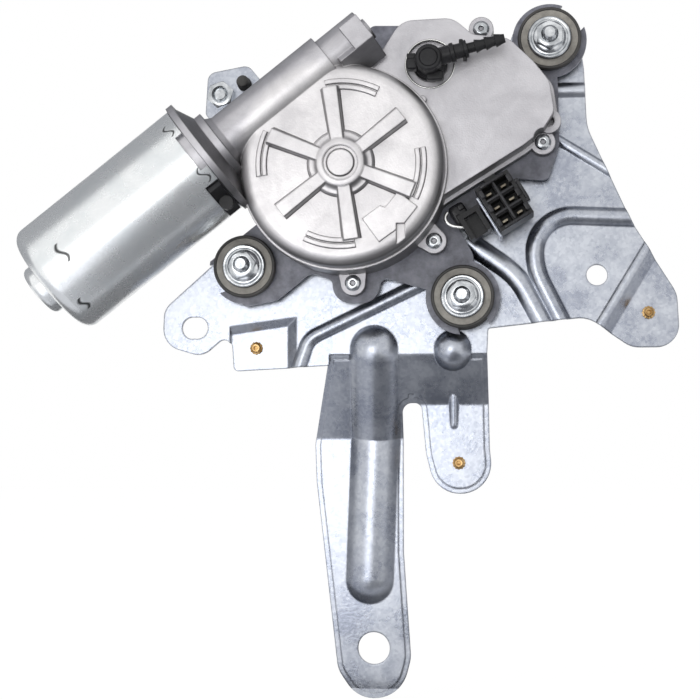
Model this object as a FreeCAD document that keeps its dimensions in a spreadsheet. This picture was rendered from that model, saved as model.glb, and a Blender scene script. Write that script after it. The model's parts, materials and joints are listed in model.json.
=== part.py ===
import FreeCAD, Part
import math
import os
import re
import Sketcher

# Rear wiper motor with its mounting bracket, in millimetres, +Z up.
# The origin is where the axis of the output spindle meets the plane of the bracket's long foot.
# The spindle points along +Y, through the body panel, and the ribbed side of the gear case
# faces -Y. Depths along Y are worked out from the foot plane forwards, one layer after another.

os.makedirs("parts", exist_ok=True)
doc = FreeCAD.newDocument("wiper_motor")
sizes = doc.addObject("Spreadsheet::Sheet", "sizes")

DRIVING_SIZES = {
    # Pressed bracket
    "sheet_thickness": 2.0,
    "foot_step": 16.0,
    "tab_step": 9.5,
    "lobe_step": 3.0,
    "bend_height": -114.0,
    "foot_bend_length": 34.0,
    "edge_band": 2.2,
    "edge_drop": 0.9,
    "bend_rounding": 3.0,
    "spine_half_width": 9.9,
    "spine_height": 4.4,
    "spine_top_x": -24.6,
    "spine_end_x": -27.9,
    "spine_end_z": -206.6,
    "gusset_x": 7.5,
    "gusset_z": -112.0,
    "gusset_radius": 9.0,
    "leg_hole_x": -26.2,
    "leg_hole_z": -234.6,
    "leg_hole_radius": 6.6,
    "wing_hole_x": 65.9,
    "wing_hole_z": -82.5,
    "wing_hole_radius": 4.2,
    "lobe_hole_x": -98.9,
    "lobe_hole_z": -102.6,
    "lobe_hole_radius": 4.5,
    "lobe_hole_travel": 1.8,
    "wing_pin_x": 86.5,
    "wing_pin_z": -97.7,
    "tab_pin_x": 9.5,
    "tab_pin_z": -158.3,
    "left_pin_x": -73.6,
    "left_pin_z": -111.0,
    "pin_radius": 1.9,
    "pin_head_radius": 2.9,
    "pin_head_height": 2.4,
    "pin_reach": 5.0,
    "lug_nut_x": -88.0,
    "lug_nut_z": -6.0,
    "buffer_x": -78.5,
    "buffer_z": -1.0,
    "buffer_radius": 2.9,
    "buffer_height": 7.0,
    # Rubber mounts and their studs
    "top_stud_x": 47.5,
    "top_stud_z": 12.5,
    "left_stud_x": -76.6,
    "left_stud_z": -78.5,
    "low_stud_x": 12.0,
    "low_stud_z": -91.7,
    "grommet_radius": 12.8,
    "grommet_neck_radius": 8.8,
    "grommet_height": 11.0,
    "sleeve_radius": 4.6,
    "sleeve_wall": 1.3,
    "stud_radius": 3.0,
    "stud_reach": 3.0,
    "stud_head_radius": 6.5,
    "stud_head_height": 1.6,
    "washer_radius": 8.6,
    "washer_thickness": 1.5,
    "nut_flats": 10.0,
    "nut_height": 5.2,
    # Black carrier plate that closes the gear case
    "carrier_thickness": 2.5,
    "carrier_arm_radius": 15.0,
    "gasket_thickness": 0.5,
    # Gear case
    "wheel_axis_x": -34.5,
    "wheel_axis_z": -41.2,
    "motor_line_angle": 38.1,
    "worm_depth": 17.0,
    "dome_radius": 40.5,
    "dome_height": 26.5,
    "dome_rounding": 5.0,
    "dome_wall": 3.0,
    "flange_height": 5.5,
    "case_height": 16.0,
    "hub_radius": 9.2,
    "hub_height": 3.0,
    "rib_width": 4.2,
    "rib_height": 2.6,
    "rib_reach": 28.5,
    "ear_radius": 5.0,
    "tube_radius": 11.4,
    "tube_bore_radius": 7.4,
    "nose_radius": 9.2,
    "nose_start": 21.9,
    "nose_end": 41.1,
    "motor_flange_radius": 25.4,
    "motor_flange_back": -41.0,
    "motor_flange_front": -34.5,
    "flange_rim": 2.8,
    "flange_collar_radius": 15.5,
    "flange_collar": 3.0,
    "spigot_length": 5.0,
    "spigot_wall": 1.8,
    "nose_pad_width": 11.0,
    "nose_pad_length": 8.6,
    "nose_pad_rise": 1.3,
    "cup_radius": 9.6,
    "cup_depth": 2.0,
    # Case screws
    "case_screw_radius": 1.9,
    "case_screw_head_radius": 3.5,
    "case_screw_head_height": 2.2,
    "ear_top_x": 20.1,
    "ear_top_z": 16.3,
    "ear_right_x": 44.5,
    "ear_right_z": -30.3,
    "ear_low_x": 0.8,
    "ear_low_z": -69.5,
    "ear_bottom_x": -31.9,
    "ear_bottom_z": -86.1,
    # Motor
    "can_radius": 24.0,
    "can_wall": 1.6,
    "can_front": -41.3,
    "can_end": -121.2,
    "can_rounding": 5.0,
    "can_boss_radius": 10.7,
    "can_boss_length": 6.1,
    "can_notch_depth": 3.2,
    "can_notch_width": 16.5,
    "lobe_length": 5.8,
    "lobe_width": 16.5,
    "magnet_thickness": 5.0,
    "magnet_length": 50.0,
    "air_gap": 0.7,
    "core_length": 38.0,
    "core_middle": -87.0,
    "shaft_radius": 3.0,
    "commutator_radius": 8.5,
    "commutator_length": 12.0,
    "brush_thickness": 5.0,
    "brush_width": 5.8,
    "brush_length": 7.5,
    "bearing_radius": 9.5,
    "bearing_width": 6.0,
    # Worm gearing
    "gear_module": 1.1,
    "wheel_teeth": 60.0,
    "worm_pitch_radius": 4.8,
    "worm_turns": 8.0,
    "tooth_play": 0.22,
    "wheel_width": 8.0,
    "wheel_web": 3.0,
    "axle_radius": 5.6,
    "axle_bore_radius": 4.0,
    "crank_throw": 7.85,
    "clip_radius": 4.7,
    "crank_radius": 3.0,
    # Crank rod, toothed sector and output spindle
    "rod_thickness": 2.5,
    "rod_eye_radius": 5.5,
    "sector_radius": 19.0,
    "sector_thickness": 5.0,
    "sector_pin_radius": 3.0,
    "sector_lever": 20.0,
    "pinion_radius": 8.0,
    "output_module": 1.0,
    "output_play": 0.1,
    "spindle_radius": 5.0,
    "spindle_end": 34.0,
    "spindle_tube_radius": 9.0,
    "spindle_tube_end": 15.0,
    "water_bore_radius": 1.6,
    "running_clearance": 0.05,
    "layer_gap": 0.5,
    # Washer-fluid elbow
    "elbow_radius": 5.7,
    "elbow_height": 12.0,
    "nozzle_angle": 14.0,
    "nozzle_length": 31.0,
    "nozzle_radius": 1.9,
    # Electrical connector
    "connector_x": 29.0,
    "connector_z": -55.0,
    "connector_angle": 31.4,
    "connector_width": 15.0,
    "connector_length": 20.0,
    "connector_depth": 15.0,
    "connector_wall": 1.4,
    "socket_mouth_depth": 4.6,
}
for row, (alias, number) in enumerate(DRIVING_SIZES.items(), start=1):
    sizes.set(f"A{row}", alias)
    sizes.set(f"B{row}", str(number))
    sizes.setAlias(f"B{row}", alias)
doc.recompute()

NAME = re.compile(r"\b([a-z]\w+)\b(?!\()")


def formula(text):
    """A formula in plain aliases, written the way the document's expressions need it."""
    return NAME.sub(r"sizes.\1", str(text))


def value(text):
    """The number that a formula in plain aliases gives."""
    return float(sizes.evalExpression(formula(text)))


# Layers along Y, from the foot plane forwards
SHEET_BACK = "(-foot_step)"
SHEET_FRONT = f"({SHEET_BACK}-sheet_thickness)"
TAB_FRONT = f"({SHEET_FRONT}+tab_step)"
LOBE_FRONT = f"({SHEET_FRONT}+lobe_step)"
GROMMET_FRONT = f"({SHEET_FRONT}-grommet_height)"
CARRIER_BACK = f"({SHEET_FRONT}-grommet_height/2+carrier_thickness/2)"
CARRIER_FRONT = f"({CARRIER_BACK}-carrier_thickness)"
CASE_BACK = f"({CARRIER_FRONT}-gasket_thickness)"
WORM_LEVEL = f"({CASE_BACK}-worm_depth)"
WHEEL_BACK = f"({WORM_LEVEL}+wheel_width/2)"
WHEEL_FRONT = f"({WORM_LEVEL}-wheel_width/2)"
ROD_FRONT = f"({WHEEL_BACK}+layer_gap)"
ROD_BACK = f"({ROD_FRONT}+rod_thickness)"
SECTOR_FRONT = f"({ROD_BACK}+2*layer_gap)"
SECTOR_BACK = f"({SECTOR_FRONT}+sector_thickness)"
DOME_FRONT = f"({CASE_BACK}-dome_height)"
HUB_FRONT = f"({DOME_FRONT}-hub_height)"
CASE_FRONT = f"({CASE_BACK}-case_height)"
EAR_FRONT = f"({CASE_BACK}-flange_height)"

# The worm line runs past the wheel at the gears' centre distance.
WHEEL_RADIUS = "(gear_module*wheel_teeth/2)"
CENTRE_DISTANCE = f"({WHEEL_RADIUS}+worm_pitch_radius)"
LINE_X = f"(wheel_axis_x-{CENTRE_DISTANCE}*sin(motor_line_angle))"
LINE_Z = f"(wheel_axis_z+{CENTRE_DISTANCE}*cos(motor_line_angle))"

EARS = [("ear_top_x", "ear_top_z"), ("ear_right_x", "ear_right_z"),
        ("ear_low_x", "ear_low_z"), ("ear_bottom_x", "ear_bottom_z")]
STUDS = [("top_stud_x", "top_stud_z"), ("left_stud_x", "left_stud_z"), ("low_stud_x", "low_stud_z")]


def origin_plane(body, role):
    """A body's own origin plane."""
    return [item for item in body.Origin.OriginFeatures if item.Role == role][0]


def new_sketch(body, role, name):
    """An empty sketch on one of the body's own origin planes."""
    sketch = body.newObject("Sketcher::SketchObject", name)
    sketch.AttachmentSupport = [(origin_plane(body, role), "")]
    sketch.MapMode = "FlatFace"
    return sketch


def bind_point(sketch, geometry, vertex, across, up):
    """Hold one sketch point at two formulas, measured from the sketch's origin."""
    for kind, text in (("DistanceX", across), ("DistanceY", up)):
        index = sketch.addConstraint(Sketcher.Constraint(kind, -1, 1, geometry, vertex, value(text)))
        if NAME.search(str(text)):
            sketch.setExpression(f"Constraints[{index}]", formula(text))


def polygon_sketch(body, role, name, corners):
    """A closed straight-sided profile whose corners are formulas."""
    sketch = new_sketch(body, role, name)
    places = [FreeCAD.Vector(value(across), value(up), 0) for across, up in corners]
    count = len(corners)
    for index in range(count):
        sketch.addGeometry(Part.LineSegment(places[index], places[(index + 1) % count]), False)
    for index in range(count):
        sketch.addConstraint(Sketcher.Constraint("Coincident", index, 2, (index + 1) % count, 1))
    for index, (across, up) in enumerate(corners):
        bind_point(sketch, index, 1, across, up)
    return sketch


def circle_sketch(body, role, name, circles):
    """Circles, each given by the formulas of its centre and radius."""
    sketch = new_sketch(body, role, name)
    for index, (across, up, radius) in enumerate(circles):
        centre = FreeCAD.Vector(value(across), value(up), 0)
        sketch.addGeometry(Part.Circle(centre, FreeCAD.Vector(0, 0, 1), value(radius)), False)
        bind_point(sketch, index, 3, across, up)
        bound = sketch.addConstraint(Sketcher.Constraint("Radius", index, value(radius)))
        if NAME.search(str(radius)):
            sketch.setExpression(f"Constraints[{bound}]", formula(radius))
    return sketch


def corner_wire(corners, closed=True):
    """Straight runs joined by arcs: each corner is (x, z, rounding radius), as formulas."""
    places = [(FreeCAD.Vector(value(x), 0, value(z)), value(r)) for x, z, r in corners]
    count = len(places)
    edges = []
    ends = []
    for index, (place, radius) in enumerate(places):
        if not closed and index in (0, count - 1):
            ends.append((place, place, None))
            continue
        before = (places[index - 1][0] - place).normalize()
        after = (places[(index + 1) % count][0] - place).normalize()
        half = before.getAngle(after) / 2
        if radius < 0.01 or abs(half - math.pi / 2) < 0.001:
            ends.append((place, place, None))
            continue
        reach = radius / math.tan(half)
        middle_way = (before + after).normalize()
        middle = place + middle_way * (radius / math.sin(half) - radius)
        ends.append((place + before * reach, place + after * reach, middle))
    for index, (start, end, middle) in enumerate(ends):
        if middle is not None:
            edges.append(Part.Arc(start, middle, end).toShape())
        if index + 1 < count or closed:
            following = ends[(index + 1) % count][0]
            if (following - end).Length > 1e-6:
                edges.append(Part.makeLine(end, following))
    return Part.Wire(Part.__sortEdges__(edges))


def outline_sketch(body, name, corners):
    """A rounded outline on the body's XZ plane, facing -Y."""
    sketch = new_sketch(body, "XZ_Plane", name)
    for edge in corner_wire(corners).Edges:
        curve = edge.Curve
        flat = [FreeCAD.Vector(v.x, v.z, 0) for v in
                (edge.valueAt(edge.FirstParameter),
                 edge.valueAt((edge.FirstParameter + edge.LastParameter) / 2),
                 edge.valueAt(edge.LastParameter))]
        if isinstance(curve, Part.Circle):
            sketch.addGeometry(Part.Arc(*flat), False)
        else:
            sketch.addGeometry(Part.LineSegment(flat[0], flat[2]), False)
    return sketch


def new_body(label, level="0", across="0", up="0"):
    """A body placed at formulas for X, Y and Z."""
    body = doc.addObject("PartDesign::Body", label)
    for axis, text in (("x", across), ("y", level), ("z", up)):
        setattr(body.Placement.Base, axis, value(text))
        body.setExpression(f"Placement.Base.{axis}", formula(text))
    return body


def put_on_motor_line(item):
    """Lay an object's X axis along the worm line, with X measured from the gears' meeting point."""
    item.Placement = FreeCAD.Placement(
        FreeCAD.Vector(value(LINE_X), value(WORM_LEVEL), value(LINE_Z)),
        FreeCAD.Rotation(FreeCAD.Vector(0, 1, 0), -value("motor_line_angle")))
    for axis, text in (("x", LINE_X), ("y", WORM_LEVEL), ("z", LINE_Z)):
        item.setExpression(f"Placement.Base.{axis}", formula(text))


def pad(body, sketch, length, name):
    """Raise a sketch towards the viewer's side, -Y on an XZ sketch."""
    feature = body.newObject("PartDesign::Pad", name)
    feature.Profile = sketch
    feature.Length = value(length)
    feature.setExpression("Length", formula(length))
    return feature


def pocket(body, sketch, depth, name, towards_viewer=True):
    """Cut a sketch into the body, from its plane towards the viewer or away."""
    doc.recompute()
    before = body.Shape.Volume
    feature = body.newObject("PartDesign::Pocket", name)
    feature.Profile = sketch
    feature.Length = value(depth)
    feature.setExpression("Length", formula(depth))
    feature.Reversed = towards_viewer
    doc.recompute()
    if body.Shape.Volume > before - 0.001:
        raise RuntimeError(f"{name} cuts nothing")
    return feature


def turn(body, sketch, axis, name):
    """Revolve a half profile round the sketch's own axis."""
    feature = body.newObject("PartDesign::Revolution", name)
    feature.Profile = sketch
    feature.ReferenceAxis = (sketch, [axis])
    feature.Angle = 360
    return feature


def turned_post(label, profile, across="0", up="0"):
    """A piece turned round a line along Y: profile corners are (radius, y)."""
    body = new_body(label, "0", across, up)
    sketch = polygon_sketch(body, "XY_Plane", f"{label}_profile", profile)
    turn(body, sketch, "V_Axis", f"{label}_turning")
    return body


def turned_on_motor_line(label, profile):
    """A piece turned round the worm line: profile corners are (distance along it, radius)."""
    body = doc.addObject("PartDesign::Body", label)
    sketch = polygon_sketch(body, "XY_Plane", f"{label}_profile", profile)
    turn(body, sketch, "H_Axis", f"{label}_turning")
    put_on_motor_line(body)
    return body


def shaped(label, shape):
    """A node whose solid is worked out in code."""
    feature = doc.addObject("Part::Feature", label)
    feature.Shape = shape
    return feature


def prism(face_or_wire, front, back):
    """Everything between two depths inside an outline in the XZ plane."""
    face = Part.Face(face_or_wire) if isinstance(face_or_wire, Part.Wire) else face_or_wire
    solid = face.extrude(FreeCAD.Vector(0, back - front, 0))
    solid.translate(FreeCAD.Vector(0, front, 0))
    return solid


def disc(x, z, radius, front, back):
    """A round bar along Y between two depths."""
    return Part.makeCylinder(radius, back - front, FreeCAD.Vector(x, front, z), FreeCAD.Vector(0, 1, 0))


nodes = []

# Mounting bracket: one pressed sheet with stepped feet, beads and rolled edges
MAIN_SHEET = [
    ("-95", "-14", "3"), ("-94", "4", "4"), ("-77", "7", "4"), ("-64", "-9", "8"),
    ("-20", "-17", "10"), ("-9", "-21", "8"), ("9", "-21", "8"), ("24", "-8", "10"),
    ("top_stud_x-13", "top_stud_z+10", "9"), ("top_stud_x+11", "top_stud_z+11", "9"),
    ("61.5", "2", "3"), ("62.5", "-22", "20"), ("80", "-61", "20"), ("98", "-90", "12"),
    ("wing_pin_x+12.5", "wing_pin_z-14", "9"), ("wing_pin_x-7", "wing_pin_z-14", "10"),
    ("62", "-99.5", "12"), ("22", "-103.8", "1"), ("21.5", "bend_height", "0"),
    ("-43", "bend_height", "0"), ("-43", "-118.5", "1"), ("left_pin_x-9.5", "-120.5", "2"),
    ("left_pin_x-10.5", "-104.5", "3"), ("lobe_hole_x+3", "lobe_hole_z-12", "8"),
    ("lobe_hole_x-13.5", "lobe_hole_z-7", "9"), ("lobe_hole_x-13", "lobe_hole_z+8", "8"),
    ("-91", "-76", "4"), ("left_stud_x-8", "left_stud_z+11", "6"),
    ("left_stud_x+9", "left_stud_z+14", "6"), ("-67", "-46", "8"), ("-83", "-22", "8"),
]
LEG = [
    ("-43", "bend_height", "0"), ("-50.8", "-150", "14"), ("-50.2", "-166", "30"),
    ("leg_hole_x-15", "leg_hole_z-9", "12"), ("leg_hole_x-7", "leg_hole_z-20.5", "13"),
    ("leg_hole_x+11", "leg_hole_z-20.5", "14"), ("leg_hole_x+15.3", "leg_hole_z-4", "14"),
    ("-13.8", "-195", "40"), ("-13.8", "-133.6", "4"), ("-9", "-133.6", "0"), ("-9", "bend_height", "0"),
]
TAB = [
    ("-11", "bend_height", "0"), ("-11", "-133.6", "0"), ("-6", "-133.6", "3"),
    ("tab_pin_x-13.6", "tab_pin_z+4", "20"), ("tab_pin_x-9.5", "tab_pin_z-12.6", "12.5"),
    ("tab_pin_x+14.5", "tab_pin_z-12.6", "12.5"), ("tab_pin_x+12.6", "tab_pin_z+6", "20"),
    ("21.5", "bend_height", "0"),
]


def folded_sheet(outline, steps, lowered=0.0):
    """Sheet trimmed to an outline, its front following (height, depth) steps with rounded bends."""
    thickness = value("sheet_thickness")
    rounding = value("bend_rounding")
    box = outline.BoundBox
    front = [FreeCAD.Vector(box.XMin - 1, depth + lowered, height) for height, depth in steps]
    back = [FreeCAD.Vector(box.XMin - 1, depth + thickness, height) for height, depth in reversed(steps)]
    strip = Part.Face(Part.makePolygon(front + back + front[:1]))
    folded = strip.extrude(FreeCAD.Vector(box.XLength + 2, 0, 0))
    for radius, side in ((rounding + thickness, 1), (rounding, -1)):
        bends = []
        for before, (height, depth), after in zip(steps, steps[1:], steps[2:]):
            straight = before[1] + (after[1] - before[1]) * (height - before[0]) / (after[0] - before[0])
            level = depth + lowered if (depth < straight) == (side > 0) else depth + thickness
            bends += [edge for edge in folded.Edges if edge.Length > box.XLength + 1
                      and abs(edge.CenterOfMass.z - height) < 0.01
                      and abs(edge.CenterOfMass.y - level) < 0.01]
        folded = folded.makeFillet(radius, bends)
    return folded.common(prism(outline, -60, 20))


def banded_sheet(corners, steps):
    """A folded sheet whose edge band lies a little lower than its middle, as a rolled edge does."""
    outline = corner_wire(corners)
    middle = Part.Face(outline.makeOffset2D(-value("edge_band")))
    return folded_sheet(middle, steps).fuse(folded_sheet(Part.Face(outline), steps, value("edge_drop")))


def ridge(corners, half_width, height):
    """A pressed ridge with a round crest along a path, and the hollow that it leaves behind."""
    radius = (half_width ** 2 + height ** 2) / (2 * height)
    path = corner_wire(corners, closed=False)
    path.translate(FreeCAD.Vector(0, value(SHEET_FRONT) - height + radius, 0))
    start = path.OrderedVertexes[0].Point
    way = path.OrderedEdges[0].tangentAt(path.OrderedEdges[0].FirstParameter)
    bars = []
    for size in (radius, radius - value("sheet_thickness")):
        section = Part.Face(Part.Wire([Part.makeCircle(size, start, way)]))
        bars.append(path.makePipe(section))
    return bars


def bent_bar(points, radius):
    """Round bars end to end, with a ball at each corner and end."""
    pieces = [Part.makeSphere(radius, point) for point in points]
    for start, end in zip(points, points[1:]):
        pieces.append(Part.makeCylinder(radius, (end - start).Length, start, end - start))
    return pieces[0].fuse(pieces[1:])


def pressed_back(sheet, outline, rim, floor):
    """Press a flat part of the sheet back inside a rim, down sloping walls to a floor."""
    front = value(SHEET_FRONT)
    step = value("lobe_step")
    upper = corner_wire([(x, z, "0") for x, z in rim])
    lower = corner_wire([(x, z, "0") for x, z in floor])
    upper.translate(FreeCAD.Vector(0, front, 0))
    lower.translate(FreeCAD.Vector(0, front + step, 0))
    hollow = Part.makeLoft([upper, lower], True, True)
    backing = hollow.copy()
    backing.translate(FreeCAD.Vector(0, value("sheet_thickness"), 0))
    backing = backing.common(prism(outline, front, front + step + value("sheet_thickness")))
    return sheet.fuse(backing).cut(hollow)


# Two pads are pressed back: the right lobe beyond a slanting line, and the left pin's tab.
LOBE_LINE = 58.7
LOBE_RIM_X, LOBE_RIM_Z = 69.4, -103.0


def beside_lobe(along, across):
    """Formulas of a point measured along and across the right lobe's fold line."""
    return (f"{LOBE_RIM_X}+({along})*cos({LOBE_LINE})+({across})*sin({LOBE_LINE})",
            f"{LOBE_RIM_Z}+({along})*sin({LOBE_LINE})-({across})*cos({LOBE_LINE})")


def bracket_shape():
    """The whole pressing: flat centre, stepped foot, tab, lobes, ridges and holes."""
    thickness = value("sheet_thickness")
    front = value(SHEET_FRONT)
    bend = value("bend_height")
    slope = math.atan2(value("foot_step"), value("foot_bend_length"))
    tab_end = value("bend_height-tab_step*foot_bend_length/foot_step")
    outline = corner_wire(MAIN_SHEET)
    sheet = prism(outline, front, value(SHEET_BACK))
    sheet = pressed_back(sheet, outline,
                         [beside_lobe(-12, 0), beside_lobe(45, 0), beside_lobe(45, 60), beside_lobe(-12, 60)],
                         [beside_lobe(-12, "1.1*lobe_step"), beside_lobe(45, "1.1*lobe_step"),
                          beside_lobe(45, 60), beside_lobe(-12, 60)])
    sheet = pressed_back(sheet, outline,
                         [("left_pin_x-10.7", "left_pin_z+9"), ("left_pin_x+17.2", "left_pin_z+12.7"),
                          ("left_pin_x+17.2", "left_pin_z-15"), ("left_pin_x-10.7", "left_pin_z-15")],
                         [("left_pin_x-10.6", "left_pin_z+5.6"), ("left_pin_x+13", "left_pin_z+9"),
                          ("left_pin_x+13", "left_pin_z-15"), ("left_pin_x-10.6", "left_pin_z-15")])

    # Foot and tab leave the flat centre along one bend line
    foot_end = bend - value("foot_bend_length")
    foot_steps = [(bend + 6, front), (bend, front), (foot_end, -thickness),
                  (value("leg_hole_z") - 40, -thickness)]
    tab_steps = [(bend + 6, front), (bend, front), (tab_end, value(TAB_FRONT)),
                 (value("tab_pin_z") - 40, value(TAB_FRONT))]
    bridge = Part.Face(corner_wire([("-20", "bend_height+3", "0"), ("15", "bend_height+3", "0"),
                                    ("15", "bend_height-16", "0"), ("-20", "bend_height-16", "0")]))
    sheet = sheet.fuse([banded_sheet(LEG, foot_steps), banded_sheet(TAB, tab_steps),
                        folded_sheet(bridge, tab_steps)])

    # Ridges across the flat centre stiffen it; they run out at its edges
    for corners, half_width, height in (
            ([("85", "-59.6", "0"), ("41", "-57.4", "15"), ("41", "-80", "28"), ("54", "-106", "0")],
             3.8, 2.4),
            ([("13", "-67.7", "0"), ("34", "-82.5", "30"), ("46.5", "-106", "0")], 4.3, 2.4),
            ([("45.5", "-23.7", "0"), ("74", "-41.8", "0")], 2.1, 1.3),
            ([("36", "-6.6", "0"), ("70", "-6.6", "0")], 3.0, 1.7),
            ([(*beside_lobe(-12, -2.2), "0"), (*beside_lobe(45, -2.2), "0")], 2.2, 1.1),
            ([("-57", "-124", "0"), ("-51.5", "-107.5", "9"), ("-4", "-84.8", "0")], 3.0, 1.8)):
        crest, hollow = ridge(corners, half_width, height)
        sheet = sheet.fuse(crest.common(prism(outline, front - 20, value(SHEET_BACK)))).cut(hollow)

    # The spine is a bent bar of round section, most of it behind the sheet
    radius = value("(spine_half_width^2+spine_height^2)/(2*spine_height)")
    sunk = radius - value("spine_height")
    corner_rise = sunk * math.tan(slope / 2)
    line = [FreeCAD.Vector(value("spine_top_x"), front + sunk, bend + corner_rise),
            FreeCAD.Vector(value("spine_top_x") * 0.7 + value("spine_end_x") * 0.3,
                           -thickness + sunk, foot_end + corner_rise),
            FreeCAD.Vector(value("spine_end_x"), -thickness + sunk, value("spine_end_z"))]
    before = [(bend + 40, -60), (bend + 40, front + thickness / 2), (bend, front + thickness / 2),
              (foot_end, -thickness / 2), (value("leg_hole_z"), -thickness / 2), (value("leg_hole_z"), -60)]
    corners = [FreeCAD.Vector(-60, depth, height) for height, depth in before]
    viewer_side = Part.Face(Part.makePolygon(corners + corners[:1])).extrude(FreeCAD.Vector(80, 0, 0))
    sheet = sheet.fuse(bent_bar(line, radius).common(viewer_side)).cut(bent_bar(line, radius - thickness))

    # Gussets: a round one over the tab's upper bend and a narrow one over its lower bend
    gusset = value("gusset_radius")
    middle = FreeCAD.Vector(value("gusset_x"), front + 0.53 * gusset, value("gusset_z"))
    sheet = sheet.fuse(Part.makeSphere(gusset, middle).common(viewer_side))
    sheet = sheet.cut(Part.makeSphere(gusset - thickness, middle))
    narrow = bent_bar([FreeCAD.Vector(value("gusset_x"), value(TAB_FRONT) + 0.1, tab_end + 3.5),
                       FreeCAD.Vector(value("gusset_x"), value(TAB_FRONT) + 1.2, tab_end - 8.5)],
                      thickness)
    sheet = sheet.fuse(narrow.common(prism(corner_wire(TAB), front, value(TAB_FRONT) + 1)))

    holes = [disc(value("leg_hole_x"), value("leg_hole_z"), value("leg_hole_radius"), -30, 30),
             disc(value("wing_hole_x"), value("wing_hole_z"), value("wing_hole_radius"), -30, 30)]
    for side in (-1, 1):
        holes.append(disc(value("lobe_hole_x") + side * value("lobe_hole_travel") / 2,
                          value("lobe_hole_z"), value("lobe_hole_radius"), -30, 30))
    for x, z in STUDS:
        holes.append(disc(value(x), value(z), value("stud_radius") + 0.01, -30, 30))
    for x, z in (("wing_pin_x", "wing_pin_z"), ("tab_pin_x", "tab_pin_z"), ("left_pin_x", "left_pin_z")):
        holes.append(disc(value(x), value(z), value("pin_radius") + 0.01, -30, 30))
    return sheet.cut(holes).removeSplitter()


nodes.append(shaped("mounting_bracket", bracket_shape()))


def offset_corners(corners):
    """Outline corners measured from the wheel axis instead of the spindle axis."""
    return [(f"({x})-wheel_axis_x", f"({z})-wheel_axis_z", r) for x, z, r in corners]


def part_box(body, name, places, lengths, cutting=False):
    """A block added to a body or cut from it, with formulas for its corner and lengths."""
    kind = "PartDesign::SubtractiveBox" if cutting else "PartDesign::AdditiveBox"
    box = body.newObject(kind, name)
    for axis, text in zip(("x", "y", "z"), places):
        box.setExpression(f"Placement.Base.{axis}", formula(text))
    for side, text in zip(("Length", "Width", "Height"), lengths):
        box.setExpression(side, formula(text))
    return box


def part_bar(body, name, start, direction, radius, length, cutting=False):
    """A round bar added to a body or cut from it, from a start point along a direction."""
    kind = "PartDesign::SubtractiveCylinder" if cutting else "PartDesign::AdditiveCylinder"
    bar = body.newObject(kind, name)
    bar.Placement = FreeCAD.Placement(FreeCAD.Vector(*[value(text) for text in start]),
                                      FreeCAD.Rotation(FreeCAD.Vector(0, 0, 1), direction))
    for axis, text in zip(("x", "y", "z"), start):
        bar.setExpression(f"Placement.Base.{axis}", formula(text))
    bar.setExpression("Radius", formula(radius))
    bar.setExpression("Height", formula(length))
    return bar


def pattern(body, feature, axis_role, count, name):
    """Copies of a feature, evenly spaced round one of the body's axes."""
    polar = body.newObject("PartDesign::PolarPattern", name)
    polar.Originals = [feature]
    polar.Axis = (origin_plane(body, axis_role), [""])
    polar.Angle = 360
    polar.Occurrences = count
    body.Tip = polar
    return polar


def group(label, template, moves):
    """Copies of one small piece at several places, as separate solids of one node."""
    doc.recompute()
    copies = []
    for move in moves:
        copy = template.Shape.copy()
        copy.translate(FreeCAD.Vector(*move))
        copies.append(copy)
    return shaped(label, Part.makeCompound(copies))


def at_places(places):
    """Moves along X and Z to each named place."""
    return [(value(x), 0, value(z)) for x, z in places]


Y_WAY = FreeCAD.Vector(0, 1, 0)
LINE_WAY = FreeCAD.Vector(math.cos(math.radians(value("motor_line_angle"))), 0,
                          math.sin(math.radians(value("motor_line_angle"))))


def line_point(along):
    """Formulas of a point on the worm line, measured in the gear case's own frame."""
    return (f"({LINE_X})-wheel_axis_x+({along})*cos(motor_line_angle)", "(-worm_depth)",
            f"({LINE_Z})-wheel_axis_z+({along})*sin(motor_line_angle)")


def part_cone(body, name, start, direction, radii, length):
    """A round tapered piece added to a body, from a start point along a direction."""
    cone = body.newObject("PartDesign::AdditiveCone", name)
    cone.Placement = FreeCAD.Placement(FreeCAD.Vector(*[value(text) for text in start]),
                                       FreeCAD.Rotation(FreeCAD.Vector(0, 0, 1), direction))
    for axis, text in zip(("x", "y", "z"), start):
        cone.setExpression(f"Placement.Base.{axis}", formula(text))
    for side, text in zip(("Radius1", "Radius2", "Height"), (*radii, length)):
        cone.setExpression(side, formula(text))
    return cone


def line_box(body, name, corner, lengths, roll=0.0, cutting=False):
    """A block square to the worm line: along it, along Y and up across it, rolled by an angle."""
    kind = "PartDesign::SubtractiveBox" if cutting else "PartDesign::AdditiveBox"
    box = body.newObject(kind, name)
    along, level, across = corner
    start = line_point(along)
    places = (f"{start[0]}-({across})*sin(motor_line_angle)", f"{start[1]}+({level})",
              f"{start[2]}+({across})*cos(motor_line_angle)")
    box.Placement = FreeCAD.Placement(
        FreeCAD.Vector(*[value(text) for text in places]),
        FreeCAD.Rotation(Y_WAY, -value("motor_line_angle")).multiply(
            FreeCAD.Rotation(FreeCAD.Vector(1, 0, 0), roll)))
    for axis, text in zip(("x", "y", "z"), places):
        box.setExpression(f"Placement.Base.{axis}", formula(text))
    for side, text in zip(("Length", "Width", "Height"), lengths):
        box.setExpression(side, formula(text))
    return box


# The sector pin lies between the wheel and the spindle, at the sector's centre distance.
SPAN = "sqrt(wheel_axis_x^2+wheel_axis_z^2)"
SECTOR_DISTANCE = "(sector_radius+pinion_radius)"
SECTOR_X = f"(wheel_axis_x*{SECTOR_DISTANCE}/{SPAN})"
SECTOR_Z = f"(wheel_axis_z*{SECTOR_DISTANCE}/{SPAN})"
CAVITY_RADIUS = f"({WHEEL_RADIUS}+gear_module+0.9)"
SECTOR_TIP = "(sector_radius+output_module)"
PINION_TIP = "(pinion_radius+output_module)"
OUTPUT_FLOOR = f"({SECTOR_FRONT}-layer_gap)"

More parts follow.
